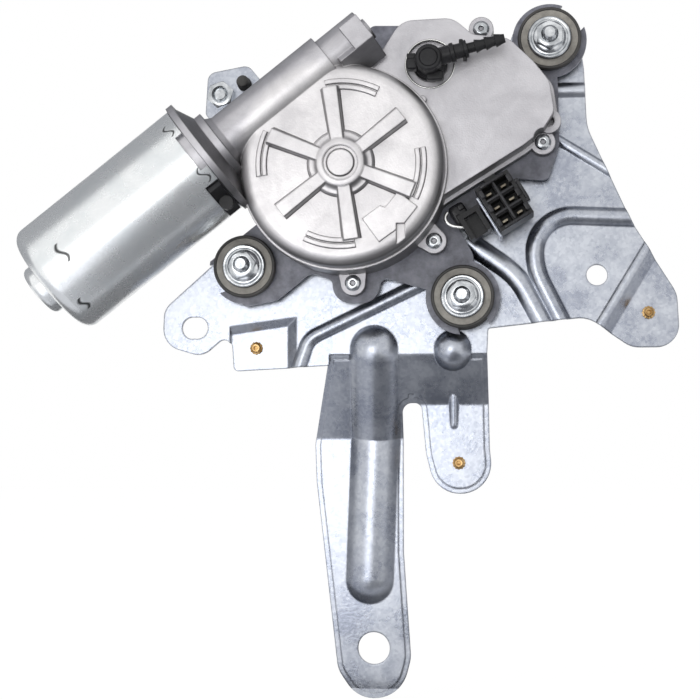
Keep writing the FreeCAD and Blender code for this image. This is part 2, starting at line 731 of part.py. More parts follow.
# Gear case: a die-cast shell with a ribbed dome, a worm tube and a flat output end
CASE_OUTLINE = [
    ("-45", "-12", "3"), ("-21", "3", "6"), ("-11.5", "17.8", "9"), ("9", "18.4", "9"),
    ("17", "11.5", "4"), ("31", "9.8", "8"), ("41", "0", "6"), ("47.2", "-8", "8"),
    ("48.9", "-20", "5"), ("44.2", "-27.5", "4"), ("36.8", "-33.2", "3"), ("4.7", "-53", "6"),
    ("-10", "-66", "6"), ("-34", "-41", "3"),
]

case = new_body("gear_housing", CASE_BACK, "wheel_axis_x", "wheel_axis_z")
dome = pad(case, circle_sketch(case, "XZ_Plane", "dome_circle", [("0", "0", "dome_radius")]),
           "dome_height", "dome_pad")
doc.recompute()
rim = [f"Edge{index}" for index, edge in enumerate(dome.Shape.Edges, start=1)
       if abs(edge.CenterOfMass.y + value("dome_height")) < 0.01 and edge.Closed]
crown = case.newObject("PartDesign::Fillet", "dome_crown")
crown.Base = (dome, rim)
crown.Radius = value("dome_rounding")
crown.setExpression("Radius", formula("dome_rounding"))
pad(case, outline_sketch(case, "output_outline", offset_corners(CASE_OUTLINE)),
    "case_height", "output_end")
doc.recompute()
flange_wire = corner_wire(offset_corners(CASE_OUTLINE)).makeOffset2D(1.7)
flange = new_sketch(case, "XZ_Plane", "joint_flange_outline")
for edge in flange_wire.Edges:
    first, last = edge.FirstParameter, edge.LastParameter
    ends = [FreeCAD.Vector(p.x, p.z, 0) for p in
            (edge.valueAt(first), edge.valueAt((first + last) / 2), edge.valueAt(last))]
    if isinstance(edge.Curve, Part.Circle):
        flange.addGeometry(Part.Arc(*ends), False)
    else:
        flange.addGeometry(Part.LineSegment(ends[0], ends[2]), False)
pad(case, flange, "flange_height", "joint_flange")
part_bar(case, "worm_tube", line_point("motor_flange_front-1"), LINE_WAY, "tube_radius",
         "nose_start-motor_flange_front+1")
part_bar(case, "nose", line_point("nose_start-1"), LINE_WAY, "nose_radius", "nose_end-nose_start+1")
line_box(case, "nose_pad", ("nose_end-nose_pad_length", "-nose_radius-nose_pad_rise", "-6"),
         ("nose_pad_length", "5", "nose_pad_width"))
line_box(case, "nose_flank", ("nose_start+3", "-2", "-13.5"), ("nose_end-nose_start-3", "6", "11.3"), 48.6)
part_bar(case, "nose_plug", line_point("nose_end-1"), LINE_WAY, "nose_radius/2", "2.6")
part_bar(case, "motor_flange", line_point("motor_flange_back"), LINE_WAY, "motor_flange_radius", "flange_rim")
part_cone(case, "flange_slope", line_point("motor_flange_back+flange_rim-0.5"), LINE_WAY,
          ("motor_flange_radius-1", "flange_collar_radius"),
          "motor_flange_front-motor_flange_back-flange_rim+0.5")
part_bar(case, "flange_collar", line_point("motor_flange_front-1"), LINE_WAY, "flange_collar_radius",
         "flange_collar+1")
part_cone(case, "collar_slope", line_point("motor_flange_front+flange_collar-0.5"), LINE_WAY,
          ("tube_radius+1.8", "tube_radius"), "3")
part_bar(case, "motor_spigot", line_point("motor_flange_back-spigot_length"), LINE_WAY,
         "can_radius-can_wall-0.1", "spigot_length+0.5")
for number, (x, z) in enumerate(EARS, start=1):
    part_bar(case, f"ear_{number}", (f"{x}-wheel_axis_x", "0", f"{z}-wheel_axis_z"),
             -Y_WAY, "ear_radius", "flange_height")
for number, (x, z) in enumerate(EARS[2:], start=1):
    # A web of the ear's own width runs from the ear into the dome's wall.
    web = polygon_sketch(case, "XZ_Plane", f"ear_web_{number}_outline", [
        (f"({x}-wheel_axis_x)+ear_radius*({z}-wheel_axis_z)/(dome_radius+ear_radius)",
         f"({z}-wheel_axis_z)-ear_radius*({x}-wheel_axis_x)/(dome_radius+ear_radius)"),
        (f"({x}-wheel_axis_x)-ear_radius*({z}-wheel_axis_z)/(dome_radius+ear_radius)",
         f"({z}-wheel_axis_z)+ear_radius*({x}-wheel_axis_x)/(dome_radius+ear_radius)"),
        (f"0.8*({x}-wheel_axis_x)-ear_radius*1.3*({z}-wheel_axis_z)/(dome_radius+ear_radius)",
         f"0.8*({z}-wheel_axis_z)+ear_radius*1.3*({x}-wheel_axis_x)/(dome_radius+ear_radius)"),
        (f"0.8*({x}-wheel_axis_x)+ear_radius*1.3*({z}-wheel_axis_z)/(dome_radius+ear_radius)",
         f"0.8*({z}-wheel_axis_z)-ear_radius*1.3*({x}-wheel_axis_x)/(dome_radius+ear_radius)"),
    ])
    pad(case, web, "flange_height", f"ear_web_{number}")
part_bar(case, "drain_boss", ("ear_right_x+2.3-wheel_axis_x", "0", "ear_right_z+8.3-wheel_axis_z"),
         -Y_WAY, "ear_radius", "flange_height+1.5")
pad(case, circle_sketch(case, "XZ_Plane", "dome_ledge_circle", [("0", "0", "dome_radius+0.9")]),
    "case_height+3", "dome_ledge")
pad(case, circle_sketch(case, "XZ_Plane", "hub_foot_circle", [("0", "0", "hub_radius+3.2")]),
    "dome_height+1", "hub_foot")
pad(case, circle_sketch(case, "XZ_Plane", "hub_circle", [("0", "0", "hub_radius")]),
    "dome_height+hub_height", "hub")
part_bar(case, "rim_boss", ("31.5", "0", "26.5"), -Y_WAY, "1.6", "case_height+2.5")

# Six tapered ribs from the hub, set along and across the worm line
rib_outline = polygon_sketch(case, "XZ_Plane", "rib_outline", [
    ("(hub_radius-1)*cos(motor_line_angle)+rib_width/2*sin(motor_line_angle)",
     "(hub_radius-1)*sin(motor_line_angle)-rib_width/2*cos(motor_line_angle)"),
    ("rib_reach*cos(motor_line_angle)+rib_width*0.62*sin(motor_line_angle)",
     "rib_reach*sin(motor_line_angle)-rib_width*0.62*cos(motor_line_angle)"),
    ("(rib_reach+1.5)*cos(motor_line_angle)", "(rib_reach+1.5)*sin(motor_line_angle)"),
    ("rib_reach*cos(motor_line_angle)-rib_width*0.62*sin(motor_line_angle)",
     "rib_reach*sin(motor_line_angle)+rib_width*0.62*cos(motor_line_angle)"),
    ("(hub_radius-1)*cos(motor_line_angle)-rib_width/2*sin(motor_line_angle)",
     "(hub_radius-1)*sin(motor_line_angle)+rib_width/2*cos(motor_line_angle)"),
])
rib = pad(case, rib_outline, "dome_height+rib_height", "rib")
doc.recompute()
pattern(case, rib, "Y_Axis", 6, "six_ribs")
doc.recompute()


def arc_band(sketch, inner, outer, start, sweep):
    """A closed band between two arcs round the wheel axis, angles in degrees."""
    turns = [math.radians(start), math.radians(start + sweep)]
    middle = (turns[0] + turns[1]) / 2
    corner = [[FreeCAD.Vector(r * math.cos(a), r * math.sin(a), 0) for a in (turns[0], middle, turns[1])]
              for r in (inner, outer)]
    sketch.addGeometry(Part.Arc(*corner[0]), False)
    sketch.addGeometry(Part.Arc(*corner[1]), False)
    sketch.addGeometry(Part.LineSegment(corner[0][0], corner[1][0]), False)
    sketch.addGeometry(Part.LineSegment(corner[0][2], corner[1][2]), False)


RIDGE_WIDTH = 1.3
ridges = new_sketch(case, "XZ_Plane", "rim_ridge_outline")
for middle_angle, sweep in ((82, 36), (-8, 34), (-98, 34), (172, 30)):
    for inner in (value("rib_reach") + 1.2, value("rib_reach") + 3.6):
        arc_band(ridges, inner, inner + RIDGE_WIDTH, middle_angle - sweep / 2, sweep)
pad(case, ridges, "dome_height+0.7", "rim_ridges")
squares = polygon_sketch(case, "XZ_Plane", "joined_pads_outline", [
    ("8.4", "-22.0"), ("15.0", "-31.2"), ("21.8", "-26.4"), ("24.6", "-24.4"), ("30.0", "-17.6"),
    ("22.4", "-11.6"), ("17.4", "-17.8"), ("15.4", "-17.0")])
pad(case, squares, "dome_height+0.9", "joined_pads")

# Hollow of the case: wheel chamber, sector chamber, spindle chamber and worm tunnel
pocket(case, circle_sketch(case, "XZ_Plane", "wheel_chamber_circle", [("0", "0", CAVITY_RADIUS)]),
       "dome_height-dome_wall", "wheel_chamber")
pocket(case, circle_sketch(case, "XZ_Plane", "sector_chamber_circle", [
    (f"{SECTOR_X}-wheel_axis_x", f"{SECTOR_Z}-wheel_axis_z", f"{SECTOR_TIP}+1.2")]),
       f"{CASE_BACK}-{OUTPUT_FLOOR}", "sector_chamber")
pocket(case, circle_sketch(case, "XZ_Plane", "spindle_chamber_circle", [
    ("-wheel_axis_x", "-wheel_axis_z", f"{PINION_TIP}+1.2")]),
       f"{CASE_BACK}-{OUTPUT_FLOOR}", "spindle_chamber")
part_bar(case, "spigot_bore", line_point("motor_flange_back-spigot_length-1"), LINE_WAY,
         "can_radius-can_wall-0.1-spigot_wall", "spigot_length+1", cutting=True)
part_bar(case, "worm_tunnel", line_point("motor_flange_back-1"), LINE_WAY, "tube_bore_radius",
         "nose_end-4-motor_flange_back+1", cutting=True)
part_bar(case, "bearing_seat", line_point("motor_flange_back-1"), LINE_WAY,
         "bearing_radius+running_clearance", "bearing_width+1", cutting=True)
part_bar(case, "spindle_hole", ("-wheel_axis_x", "-case_height-1", "-wheel_axis_z"), Y_WAY,
         "spindle_radius+1.5", "case_height", cutting=True)
part_bar(case, "spindle_cup", ("-wheel_axis_x", "-case_height-1", "-wheel_axis_z"), Y_WAY,
         "cup_radius", "cup_depth+1", cutting=True)
part_box(case, "rim_notch", ("24.5-2.8", "-dome_height-1", "-33"), ("3.4", "2.2", "9"), cutting=True)
part_bar(case, "axle_hole", ("0", "-dome_height-hub_height-1", "0"), Y_WAY, "axle_radius",
         "dome_wall+hub_height+2", cutting=True)
part_bar(case, "hub_groove", ("0", "-dome_height-hub_height-1", "0"), Y_WAY, "axle_radius+1.2",
         "1.8", cutting=True)
part_bar(case, "top_grommet_clearance",
         ("top_stud_x-wheel_axis_x", "-case_height-5", "top_stud_z-wheel_axis_z"),
         Y_WAY, "grommet_radius+0.6", "case_height+6", cutting=True)
part_bar(case, "drain_hole", ("ear_right_x+2.3-wheel_axis_x", "-flange_height-2.5",
                              "ear_right_z+8.3-wheel_axis_z"), Y_WAY, "2.2", "6", cutting=True)
for number, (x, z) in enumerate(EARS, start=1):
    part_bar(case, f"screw_seat_{number}", (f"{x}-wheel_axis_x", "-case_height-5", f"{z}-wheel_axis_z"),
             Y_WAY, "case_screw_head_radius+0.2", "case_height+5-flange_height", cutting=True)
    part_bar(case, f"screw_hole_{number}", (f"{x}-wheel_axis_x", "-flange_height-1", f"{z}-wheel_axis_z"),
             Y_WAY, "case_screw_radius+0.1", "flange_height+2", cutting=True)
doc.recompute()
nodes.append(case)

# Carrier plate: it closes the case and reaches out to the three rubber mounts
CARRIER_OUTLINE = [
    ("-25", "20.5", "3"), ("-6", "20", "6"), ("2", "16.5", "6"), ("26", "13.5", "8"),
    ("top_stud_x-13", "top_stud_z-6", "4"), ("top_stud_x+3", "top_stud_z-13", "2"),
    ("50.8", "-8", "4"), ("51.2", "-30", "6"), ("46.5", "-44.5", "3"), ("31.5", "-43.5", "2"),
    ("39.6", "-60", "2"), ("28", "-66.5", "3"), ("18", "-58", "4"),
    ("7.5", "-58", "3"), ("low_stud_x+6", "low_stud_z+14", "5"), ("low_stud_x-13", "low_stud_z+3", "5"),
    ("-21", "-83", "3"), ("ear_bottom_x+9", "ear_bottom_z-7.3", "7"),
    ("ear_bottom_x-8.5", "ear_bottom_z-7.3", "7"), ("-41", "-84", "3"), ("-50", "-81", "4"),
    ("left_stud_x+13", "left_stud_z-13.5", "5"), ("left_stud_x-1", "left_stud_z-16.2", "1.5"),
    ("left_stud_x-8", "left_stud_z+13", "8"), ("left_stud_x+2", "left_stud_z+20", "6"),
    ("-69", "-46", "4"), ("-60", "-28", "6"), ("-38", "-4", "8"),
]
carrier = new_body("carrier_plate", CARRIER_BACK)
pad(carrier, outline_sketch(carrier, "carrier_outline", CARRIER_OUTLINE),
    "carrier_thickness", "carrier_sheet")
pad(carrier, circle_sketch(carrier, "XZ_Plane", "carrier_cover_circle",
                           [("wheel_axis_x", "wheel_axis_z", "dome_radius+1")]),
    "carrier_thickness", "carrier_cover")
for number, (x, z) in enumerate(STUDS, start=1):
    pad(carrier, circle_sketch(carrier, "XZ_Plane", f"arm_circle_{number}", [(x, z, "carrier_arm_radius")]),
        "carrier_thickness", f"arm_{number}")
for number, ((x, z), way) in enumerate(zip(STUDS, (45, 200, 290)), start=1):
    # Each arm is a C: a round seat for the grommet's neck, open along one direction
    pocket(carrier, circle_sketch(carrier, "XZ_Plane", f"neck_circle_{number}",
                                  [(x, z, "grommet_neck_radius+0.15")]),
           "carrier_thickness", f"neck_seat_{number}")
    reach = "(carrier_arm_radius+3)"
    half = "(grommet_neck_radius-2.6)"
    mouth = polygon_sketch(carrier, "XZ_Plane", f"mouth_outline_{number}", [
        (f"{x}+{half}*sin({way})", f"{z}-{half}*cos({way})"),
        (f"{x}+{reach}*cos({way})+{half}*sin({way})", f"{z}+{reach}*sin({way})-{half}*cos({way})"),
        (f"{x}+{reach}*cos({way})-{half}*sin({way})", f"{z}+{reach}*sin({way})+{half}*cos({way})"),
        (f"{x}-{half}*sin({way})", f"{z}+{half}*cos({way})")])
    pocket(carrier, mouth, "carrier_thickness", f"arm_mouth_{number}")
pocket(carrier, circle_sketch(carrier, "XZ_Plane", "carrier_holes", [
    ("0", "0", "spindle_tube_radius+0.02"), (SECTOR_X, SECTOR_Z, "sector_pin_radius+0.02"),
    ("-73", "-58.5", "1.8")] + [(x, z, "case_screw_radius+0.1") for x, z in EARS]),
       "carrier_thickness", "carrier_drilling")


def clear_motor_flange(body, name):
    """Cut away what would meet the round motor flange behind the joint plane."""
    notch = body.newObject("PartDesign::SubtractiveBox", name)
    notch.Placement = FreeCAD.Placement(FreeCAD.Vector(value(LINE_X), 0, value(LINE_Z)),
                                        FreeCAD.Rotation(Y_WAY, -value("motor_line_angle"))).multiply(
        FreeCAD.Placement(FreeCAD.Vector(value("motor_flange_front") - 39.3, -10, -30), FreeCAD.Rotation()))
    notch.Length = 40
    notch.Width = 20
    notch.Height = 56
    doc.recompute()


clear_motor_flange(carrier, "motor_flange_notch")
nodes.append(carrier)

# Gasket between the case and the carrier
gasket = new_body("case_gasket", CARRIER_FRONT)
pad(gasket, circle_sketch(gasket, "XZ_Plane", "gasket_circle",
                          [("wheel_axis_x", "wheel_axis_z", "dome_radius")]),
    "gasket_thickness", "gasket_ring")
pad(gasket, outline_sketch(gasket, "gasket_outline", CASE_OUTLINE), "gasket_thickness", "gasket_end")
pocket(gasket, circle_sketch(gasket, "XZ_Plane", "gasket_wheel_hole",
                             [("wheel_axis_x", "wheel_axis_z", CAVITY_RADIUS)]),
       "gasket_thickness", "gasket_wheel_opening")
pocket(gasket, circle_sketch(gasket, "XZ_Plane", "gasket_sector_hole",
                             [(SECTOR_X, SECTOR_Z, f"{SECTOR_TIP}+1.2")]),
       "gasket_thickness", "gasket_sector_opening")
pocket(gasket, circle_sketch(gasket, "XZ_Plane", "gasket_spindle_hole", [("0", "0", f"{PINION_TIP}+1.2")]),
       "gasket_thickness", "gasket_spindle_opening")
clear_motor_flange(gasket, "gasket_flange_notch")
nodes.append(gasket)

# Motor: a drawn steel can with magnets, closed by the case's round flange
LOBE_ANGLE = 148
can = doc.addObject("PartDesign::Body", "motor_can")
CAN_BACK = "(can_end-can_boss_length)"
can_profile = polygon_sketch(can, "XY_Plane", "motor_can_profile", [
    ("can_front", "can_radius-can_wall"), ("can_front", "can_radius"), ("can_end", "can_radius"),
    ("can_end", "can_boss_radius"), (CAN_BACK, "can_boss_radius"), (CAN_BACK, "0"),
    (f"{CAN_BACK}+can_wall", "0"), (f"{CAN_BACK}+can_wall", "can_boss_radius-can_wall"),
    ("can_end+can_wall", "can_boss_radius-can_wall"), ("can_end+can_wall", "can_radius-can_wall")])
drawn = turn(can, can_profile, "H_Axis", "drawn_can")
doc.recompute()


def ring_edges(shape, along, radius):
    """Names of the round edges at a place along a turned piece, with a given radius."""
    return [f"Edge{index}" for index, edge in enumerate(shape.Edges, start=1)
            if isinstance(edge.Curve, Part.Circle) and abs(edge.Curve.Center.x - along) < 0.01
            and abs(edge.Curve.Radius - radius) < 0.01]


def rounding(body, base, along, radius, amount, name):
    """Round one ring-shaped edge of a turned piece."""
    fillet = body.newObject("PartDesign::Fillet", name)
    fillet.Base = (base, ring_edges(base.Shape, value(along), value(radius)))
    fillet.Radius = value(amount)
    fillet.setExpression("Radius", formula(amount))
    doc.recompute()
    return fillet


outer_round = rounding(can, drawn, "can_end", "can_radius", "can_rounding", "can_end_rounding")
inner_round = rounding(can, outer_round, "can_end+can_wall", "can_radius-can_wall",
                       "can_rounding-can_wall", "can_inner_rounding")
boss_round = rounding(can, inner_round, CAN_BACK, "can_boss_radius", "can_wall*1.5", "can_boss_rounding")
for number, (turn_angle, width, depth) in enumerate((
        (90, "can_notch_width", "can_notch_depth"), (270, "can_notch_width", "can_notch_depth"),
        (LOBE_ANGLE, "lobe_width+1.5", "lobe_length+0.4")), start=1):
    # Cut-outs in the can's open edge: two show the spigot, one lets the brush holder's lobe out
    notch = can.newObject("PartDesign::SubtractiveBox", f"edge_notch_{number}")
    notch.Placement = FreeCAD.Placement(
        FreeCAD.Vector(value("can_front") - value(depth), 0, 0),
        FreeCAD.Rotation(FreeCAD.Vector(1, 0, 0), turn_angle)).multiply(
        FreeCAD.Placement(FreeCAD.Vector(0, -value(width) / 2, value("can_radius") - 8), FreeCAD.Rotation()))
    notch.setExpression("Length", formula(f"{depth}+1"))
    notch.setExpression("Width", formula(width))
    notch.Height = 10
doc.recompute()
put_on_motor_line(can)
nodes.append(can)

nodes.append(turned_on_motor_line("rear_bush", [
    (f"{CAN_BACK}+can_wall+0.1", "shaft_radius+running_clearance"),
    (f"{CAN_BACK}+can_wall+0.1", "can_boss_radius-can_wall-0.1"),
    ("can_end+can_wall", "can_boss_radius-can_wall-0.1"),
    ("can_end+can_wall", "shaft_radius+running_clearance")]))
nodes.append(turned_on_motor_line("front_bearing", [
    ("motor_flange_back+0.2", "shaft_radius+running_clearance"), ("motor_flange_back+0.2", "bearing_radius"),
    ("motor_flange_back+bearing_width", "bearing_radius"),
    ("motor_flange_back+bearing_width", "shaft_radius+running_clearance")]))


def on_line(shape):
    """Move a solid made along +X to its place on the worm line."""
    moved = shape.copy()
    moved.Placement = FreeCAD.Placement(
        FreeCAD.Vector(value(LINE_X), value(WORM_LEVEL), value(LINE_Z)),
        FreeCAD.Rotation(Y_WAY, -value("motor_line_angle"))).multiply(shape.Placement)
    return moved


X_WAY = FreeCAD.Vector(1, 0, 0)


def line_ring(start, end, inner, outer, angle=360.0, turned=0.0):
    """A ring, or part of one, round the X axis."""
    ring = Part.makeCylinder(outer, end - start, FreeCAD.Vector(start, 0, 0), X_WAY, angle)
    if inner > 0:
        ring = ring.cut(Part.makeCylinder(inner, end - start, FreeCAD.Vector(start, 0, 0), X_WAY))
    ring.rotate(FreeCAD.Vector(0, 0, 0), X_WAY, turned)
    return ring


# Each magnet covers this many degrees round the can, and these are their turns in degrees
MAGNET_ARC = 130
MAGNET_TURNS = (25, 205)


def magnet_pair():
    """Two curved magnets against the can's wall."""
    outer = value("can_radius-can_wall") - 0.05
    inner = outer - value("magnet_thickness")
    start = value("core_middle") - value("magnet_length") / 2
    end = start + value("magnet_length")
    return Part.makeCompound([on_line(line_ring(start, end, inner, outer, MAGNET_ARC, turned))
                              for turned in MAGNET_TURNS])


nodes.append(shaped("field_magnets", magnet_pair()))

CORE_RADIUS = "(can_radius-can_wall-0.05-magnet_thickness-air_gap)"
core = doc.addObject("PartDesign::Body", "armature_core")
core_disc = circle_sketch(core, "YZ_Plane", "core_circle",
                          [("0", "0", CORE_RADIUS), ("0", "0", "shaft_radius+0.01")])
core_pad = pad(core, core_disc, "core_length", "lamination_stack")
doc.recompute()
slot = core.newObject("PartDesign::SubtractiveBox", "winding_slot")
slot.setExpression("Placement.Base.x", "-1")
slot.setExpression("Placement.Base.y", "-1.1")
slot.setExpression("Placement.Base.z", formula("shaft_radius+4.5"))
slot.setExpression("Length", formula("core_length+2"))
slot.Width = 2.2
slot.setExpression("Height", formula(CORE_RADIUS))
pattern(core, slot, "X_Axis", 10, "ten_slots")
doc.recompute()
core.Placement = FreeCAD.Placement(
    FreeCAD.Vector(value(LINE_X), value(WORM_LEVEL), value(LINE_Z)),
    FreeCAD.Rotation(Y_WAY, -value("motor_line_angle"))).multiply(
    FreeCAD.Placement(FreeCAD.Vector(value("core_middle-core_length/2"), 0, 0), FreeCAD.Rotation()))
nodes.append(core)

CORE_BACK = "(core_middle-core_length/2)"
CORE_FRONT = "(core_middle+core_length/2)"


def winding_ends():
    """The two rings of end turns beside the core."""
    rings = []
    for start, sense in ((value(CORE_BACK), -1), (value(CORE_FRONT), 1)):
        near = start + sense * 0.05
        far = start + sense * 6.5
        outer = value(CORE_RADIUS) - 1.6
        profile = Part.makePolygon([FreeCAD.Vector(x, 0, r) for x, r in (
            (near, value("shaft_radius") + 1.0), (near, outer), (near + sense * 4.5, outer),
            (far, outer - 2.5), (far, value("shaft_radius") + 3), (near, value("shaft_radius") + 1.0))])
        rings.append(on_line(Part.Face(profile).revolve(FreeCAD.Vector(0, 0, 0), X_WAY, 360)))
    return Part.makeCompound(rings)


nodes.append(shaped("armature_windings", winding_ends()))
COMMUTATOR_BACK = "(core_middle+core_length/2+9)"
nodes.append(turned_on_motor_line("commutator", [
    (COMMUTATOR_BACK, "shaft_radius+0.01"), (COMMUTATOR_BACK, "commutator_radius+1.2"),
    (f"{COMMUTATOR_BACK}+1.2", "commutator_radius+1.2"), (f"{COMMUTATOR_BACK}+1.2", "commutator_radius"),
    (f"{COMMUTATOR_BACK}+commutator_length", "commutator_radius"),
    (f"{COMMUTATOR_BACK}+commutator_length", "shaft_radius+0.01")]))

# Brush gear: a black moulding in the can's mouth with two boxes for the carbon brushes
BRUSH_MIDDLE = f"({COMMUTATOR_BACK}+7)"
holder = doc.addObject("PartDesign::Body", "brush_holder")
holder_profile = polygon_sketch(holder, "XY_Plane", "brush_holder_profile", [
    (f"{BRUSH_MIDDLE}-5", "commutator_radius+2"), (f"{BRUSH_MIDDLE}-5", "can_radius-can_wall-0.3"),
    ("motor_flange_back-spigot_length-0.2", "can_radius-can_wall-0.3"),
    ("motor_flange_back-spigot_length-0.2", "can_radius-can_wall-spigot_wall-0.3"),
    ("motor_flange_back-0.1", "can_radius-can_wall-spigot_wall-0.3"),
    ("motor_flange_back-0.1", "bearing_radius+3"),
    (f"{BRUSH_MIDDLE}-2.5", "bearing_radius+3"), (f"{BRUSH_MIDDLE}-2.5", "commutator_radius+2")])
turn(holder, holder_profile, "H_Axis", "brush_holder_ring")
doc.recompute()
for number, side in enumerate((1, -1), start=1):
    part_box(holder, f"brush_box_{number}",
             (f"{BRUSH_MIDDLE}-3.6", "-4", "commutator_radius+1" if side > 0 else "-can_radius+can_wall+1"),
             ("7.2", "8", "can_radius-can_wall-commutator_radius-2"))
    part_box(holder, f"brush_slot_{number}",
             (f"{BRUSH_MIDDLE}-2.6", "-3", "commutator_radius" if side > 0 else "-can_radius+can_wall+2.5"),
             ("5.2", "6", "can_radius-can_wall-commutator_radius-2.5"), cutting=True)
for name, along, inner in (("lobe_root", "spigot_length+0.2", 4.0), ("lobe_cover", "0.4", 1.6)):
    # The lobe comes out through the can's cut-out and covers the spigot there
    lobe = holder.newObject("PartDesign::AdditiveBox", name)
    lobe.Placement = FreeCAD.Placement(
        FreeCAD.Vector(value("motor_flange_back-0.3-lobe_length"), 0, 0),
        FreeCAD.Rotation(FreeCAD.Vector(1, 0, 0), LOBE_ANGLE)).multiply(FreeCAD.Placement(
            FreeCAD.Vector(0, -value("lobe_width") / 2, value("can_radius") - inner), FreeCAD.Rotation()))
    lobe.setExpression("Length", formula(f"lobe_length-{along}"))
    lobe.setExpression("Width", formula("lobe_width"))
    lobe.Height = inner + 1.3
part_bar(holder, "lobe_stub", ("-44.6", "-12", "-22.6"), -Y_WAY, "2.7", "3.6")
doc.recompute()
put_on_motor_line(holder)
nodes.append(holder)


def brush_blocks():
    """Two carbon blocks facing the commutator from opposite sides."""
    along, across, length = value("brush_thickness"), value("brush_width"), value("brush_length")
    inner = value("commutator_radius+0.1")
    return Part.makeCompound([
        on_line(Part.makeBox(along, across, length, FreeCAD.Vector(
            value(BRUSH_MIDDLE) - along / 2, -across / 2, start)))
        for start in (inner, -inner - length)])


nodes.append(shaped("carbon_brushes", brush_blocks()))


def spring_pair():
    """Bent leaf springs that press the brushes inwards."""
    inner = value("commutator_radius+0.1+brush_length") + 0.1
    outer = value("can_radius-can_wall") - 2.6
    leaf = [(-2.2, inner), (0, outer - 0.4), (2.2, inner),
            (2.2, inner + 0.5), (0, outer), (-2.2, inner + 0.5)]
    springs = []
    for side in (1, -1):
        corners = [FreeCAD.Vector(value(BRUSH_MIDDLE) + along, -2, side * reach) for along, reach in leaf]
        springs.append(on_line(Part.Face(Part.makePolygon(corners + corners[:1])).extrude(Y_WAY * 4)))
    return Part.makeCompound(springs)


nodes.append(shaped("brush_springs", spring_pair()))


def involute(angle):
    """How far an involute has turned at a pressure angle."""
    return math.tan(angle) - angle


def gear_outline(radius, module, teeth, play, steps, helix_turn=0.0, root_extra=0.25):
    """A closed spur-gear outline in the XZ plane, its first tooth centred on +X."""
    pressure = math.radians(20)
    base = radius * math.cos(pressure)
    root = radius - module * (1 + root_extra)
    tip = radius + module
    half = (math.pi * module / 2 - play) / (2 * radius)
    start = max(root, base)
    points = []
    for tooth in range(teeth):
        centre = 2 * math.pi * tooth / teeth + helix_turn
        flank = []
        for step in range(steps + 1):
            here = start + (tip - start) * step / steps
            spread = half + involute(pressure) - involute(math.acos(min(1.0, base / here)))
            flank.append((here, spread))
        if root < start:
            flank.insert(0, (root, flank[0][1]))
        points += [(r, centre - spread) for r, spread in flank]
        points += [(r, centre + spread) for r, spread in reversed(flank)]
    corners = [FreeCAD.Vector(r * math.cos(a), 0, r * math.sin(a)) for r, a in points]
    return Part.makePolygon(corners + corners[:1])


def wheel_shape():
    """Worm wheel: slanted teeth on a rim, a thin web, a hub and the crank pin's boss."""
    width = value("wheel_width")
    radius = value(WHEEL_RADIUS)
    lead = math.atan(value("gear_module") / (2 * value("worm_pitch_radius")))
    half_turn = width * math.tan(lead) / radius / 2
    sections = []
    for level, turned in ((value(WHEEL_FRONT), 1), (value(WHEEL_BACK), -1)):
        section = gear_outline(radius, value("gear_module"), int(round(value("wheel_teeth"))),
                               value("tooth_play"), 1, turned * half_turn + WHEEL_PHASE)
        section.translate(FreeCAD.Vector(0, level, 0))
        sections.append(section)
    wheel = Part.makeLoft(sections, True, True)
    recess = (width - value("wheel_web")) / 2
    rim = radius - 2.5 * value("gear_module") - 2.0
    hub = value("axle_bore_radius") + 4.5
    for front, back in ((value(WHEEL_FRONT), value(WHEEL_FRONT) + recess),
                        (value(WHEEL_BACK) - recess, value(WHEEL_BACK))):
        wheel = wheel.cut(disc(0, 0, rim, front, back).cut(disc(0, 0, hub, front, back)))
    wheel = wheel.fuse(disc(CRANK_X, CRANK_Z, value("crank_radius") + 2.6,
                            value(WHEEL_FRONT), value(WHEEL_BACK)))
    for step in range(6):
        rib = Part.makeBox(rim - hub + 1, width, 1.6, FreeCAD.Vector(hub - 0.5, value(WHEEL_FRONT), -0.8))
        rib.rotate(FreeCAD.Vector(0, 0, 0), Y_WAY, 60 * step + 20)
        wheel = wheel.fuse(rib)
    wheel = wheel.cut(disc(0, 0, value("axle_bore_radius+running_clearance"), -90, 0))
    wheel = wheel.cut(disc(CRANK_X, CRANK_Z, value("crank_radius"), value(WHEEL_BACK) - 5, 0))
    wheel = wheel.cut(disc(0, 0, value("clip_radius") + 0.1, value(WHEEL_BACK) - 2.2, 0))
    wheel.translate(FreeCAD.Vector(value("wheel_axis_x"), 0, value("wheel_axis_z")))
    return wheel.removeSplitter()


# Linkage at rest: the crank and the rod lie in one line, with the sector's lever at its far end
SWEEP = 110.0
sector_x, sector_z = value(SECTOR_X), value(SECTOR_Z)
wheel_x, wheel_z = value("wheel_axis_x"), value("wheel_axis_z")
pin_to_wheel = math.hypot(sector_x - wheel_x, sector_z - wheel_z)
lever = value("sector_lever")
sector_sweep = SWEEP * value("pinion_radius/sector_radius")
middle_span = math.sqrt(pin_to_wheel ** 2 - lever ** 2)
middle_angle = math.degrees(math.acos(lever / pin_to_wheel))
rest_angle = math.radians(middle_angle + sector_sweep / 2)
away = math.atan2(wheel_z - sector_z, wheel_x - sector_x)
lever_angle = away + rest_angle
LEVER_X = sector_x + lever * math.cos(lever_angle)
LEVER_Z = sector_z + lever * math.sin(lever_angle)
crank_angle = math.atan2(LEVER_Z - wheel_z, LEVER_X - wheel_x)
CRANK_X = value("crank_throw") * math.cos(crank_angle)
CRANK_Z = value("crank_throw") * math.sin(crank_angle)
crank_world = (wheel_x + CRANK_X, wheel_z + CRANK_Z)
# The worm's thread crest faces the wheel where they meet, so a gap between two teeth stands there
WHEEL_PHASE = math.radians(value("motor_line_angle") + 90 + 180 / value("wheel_teeth"))


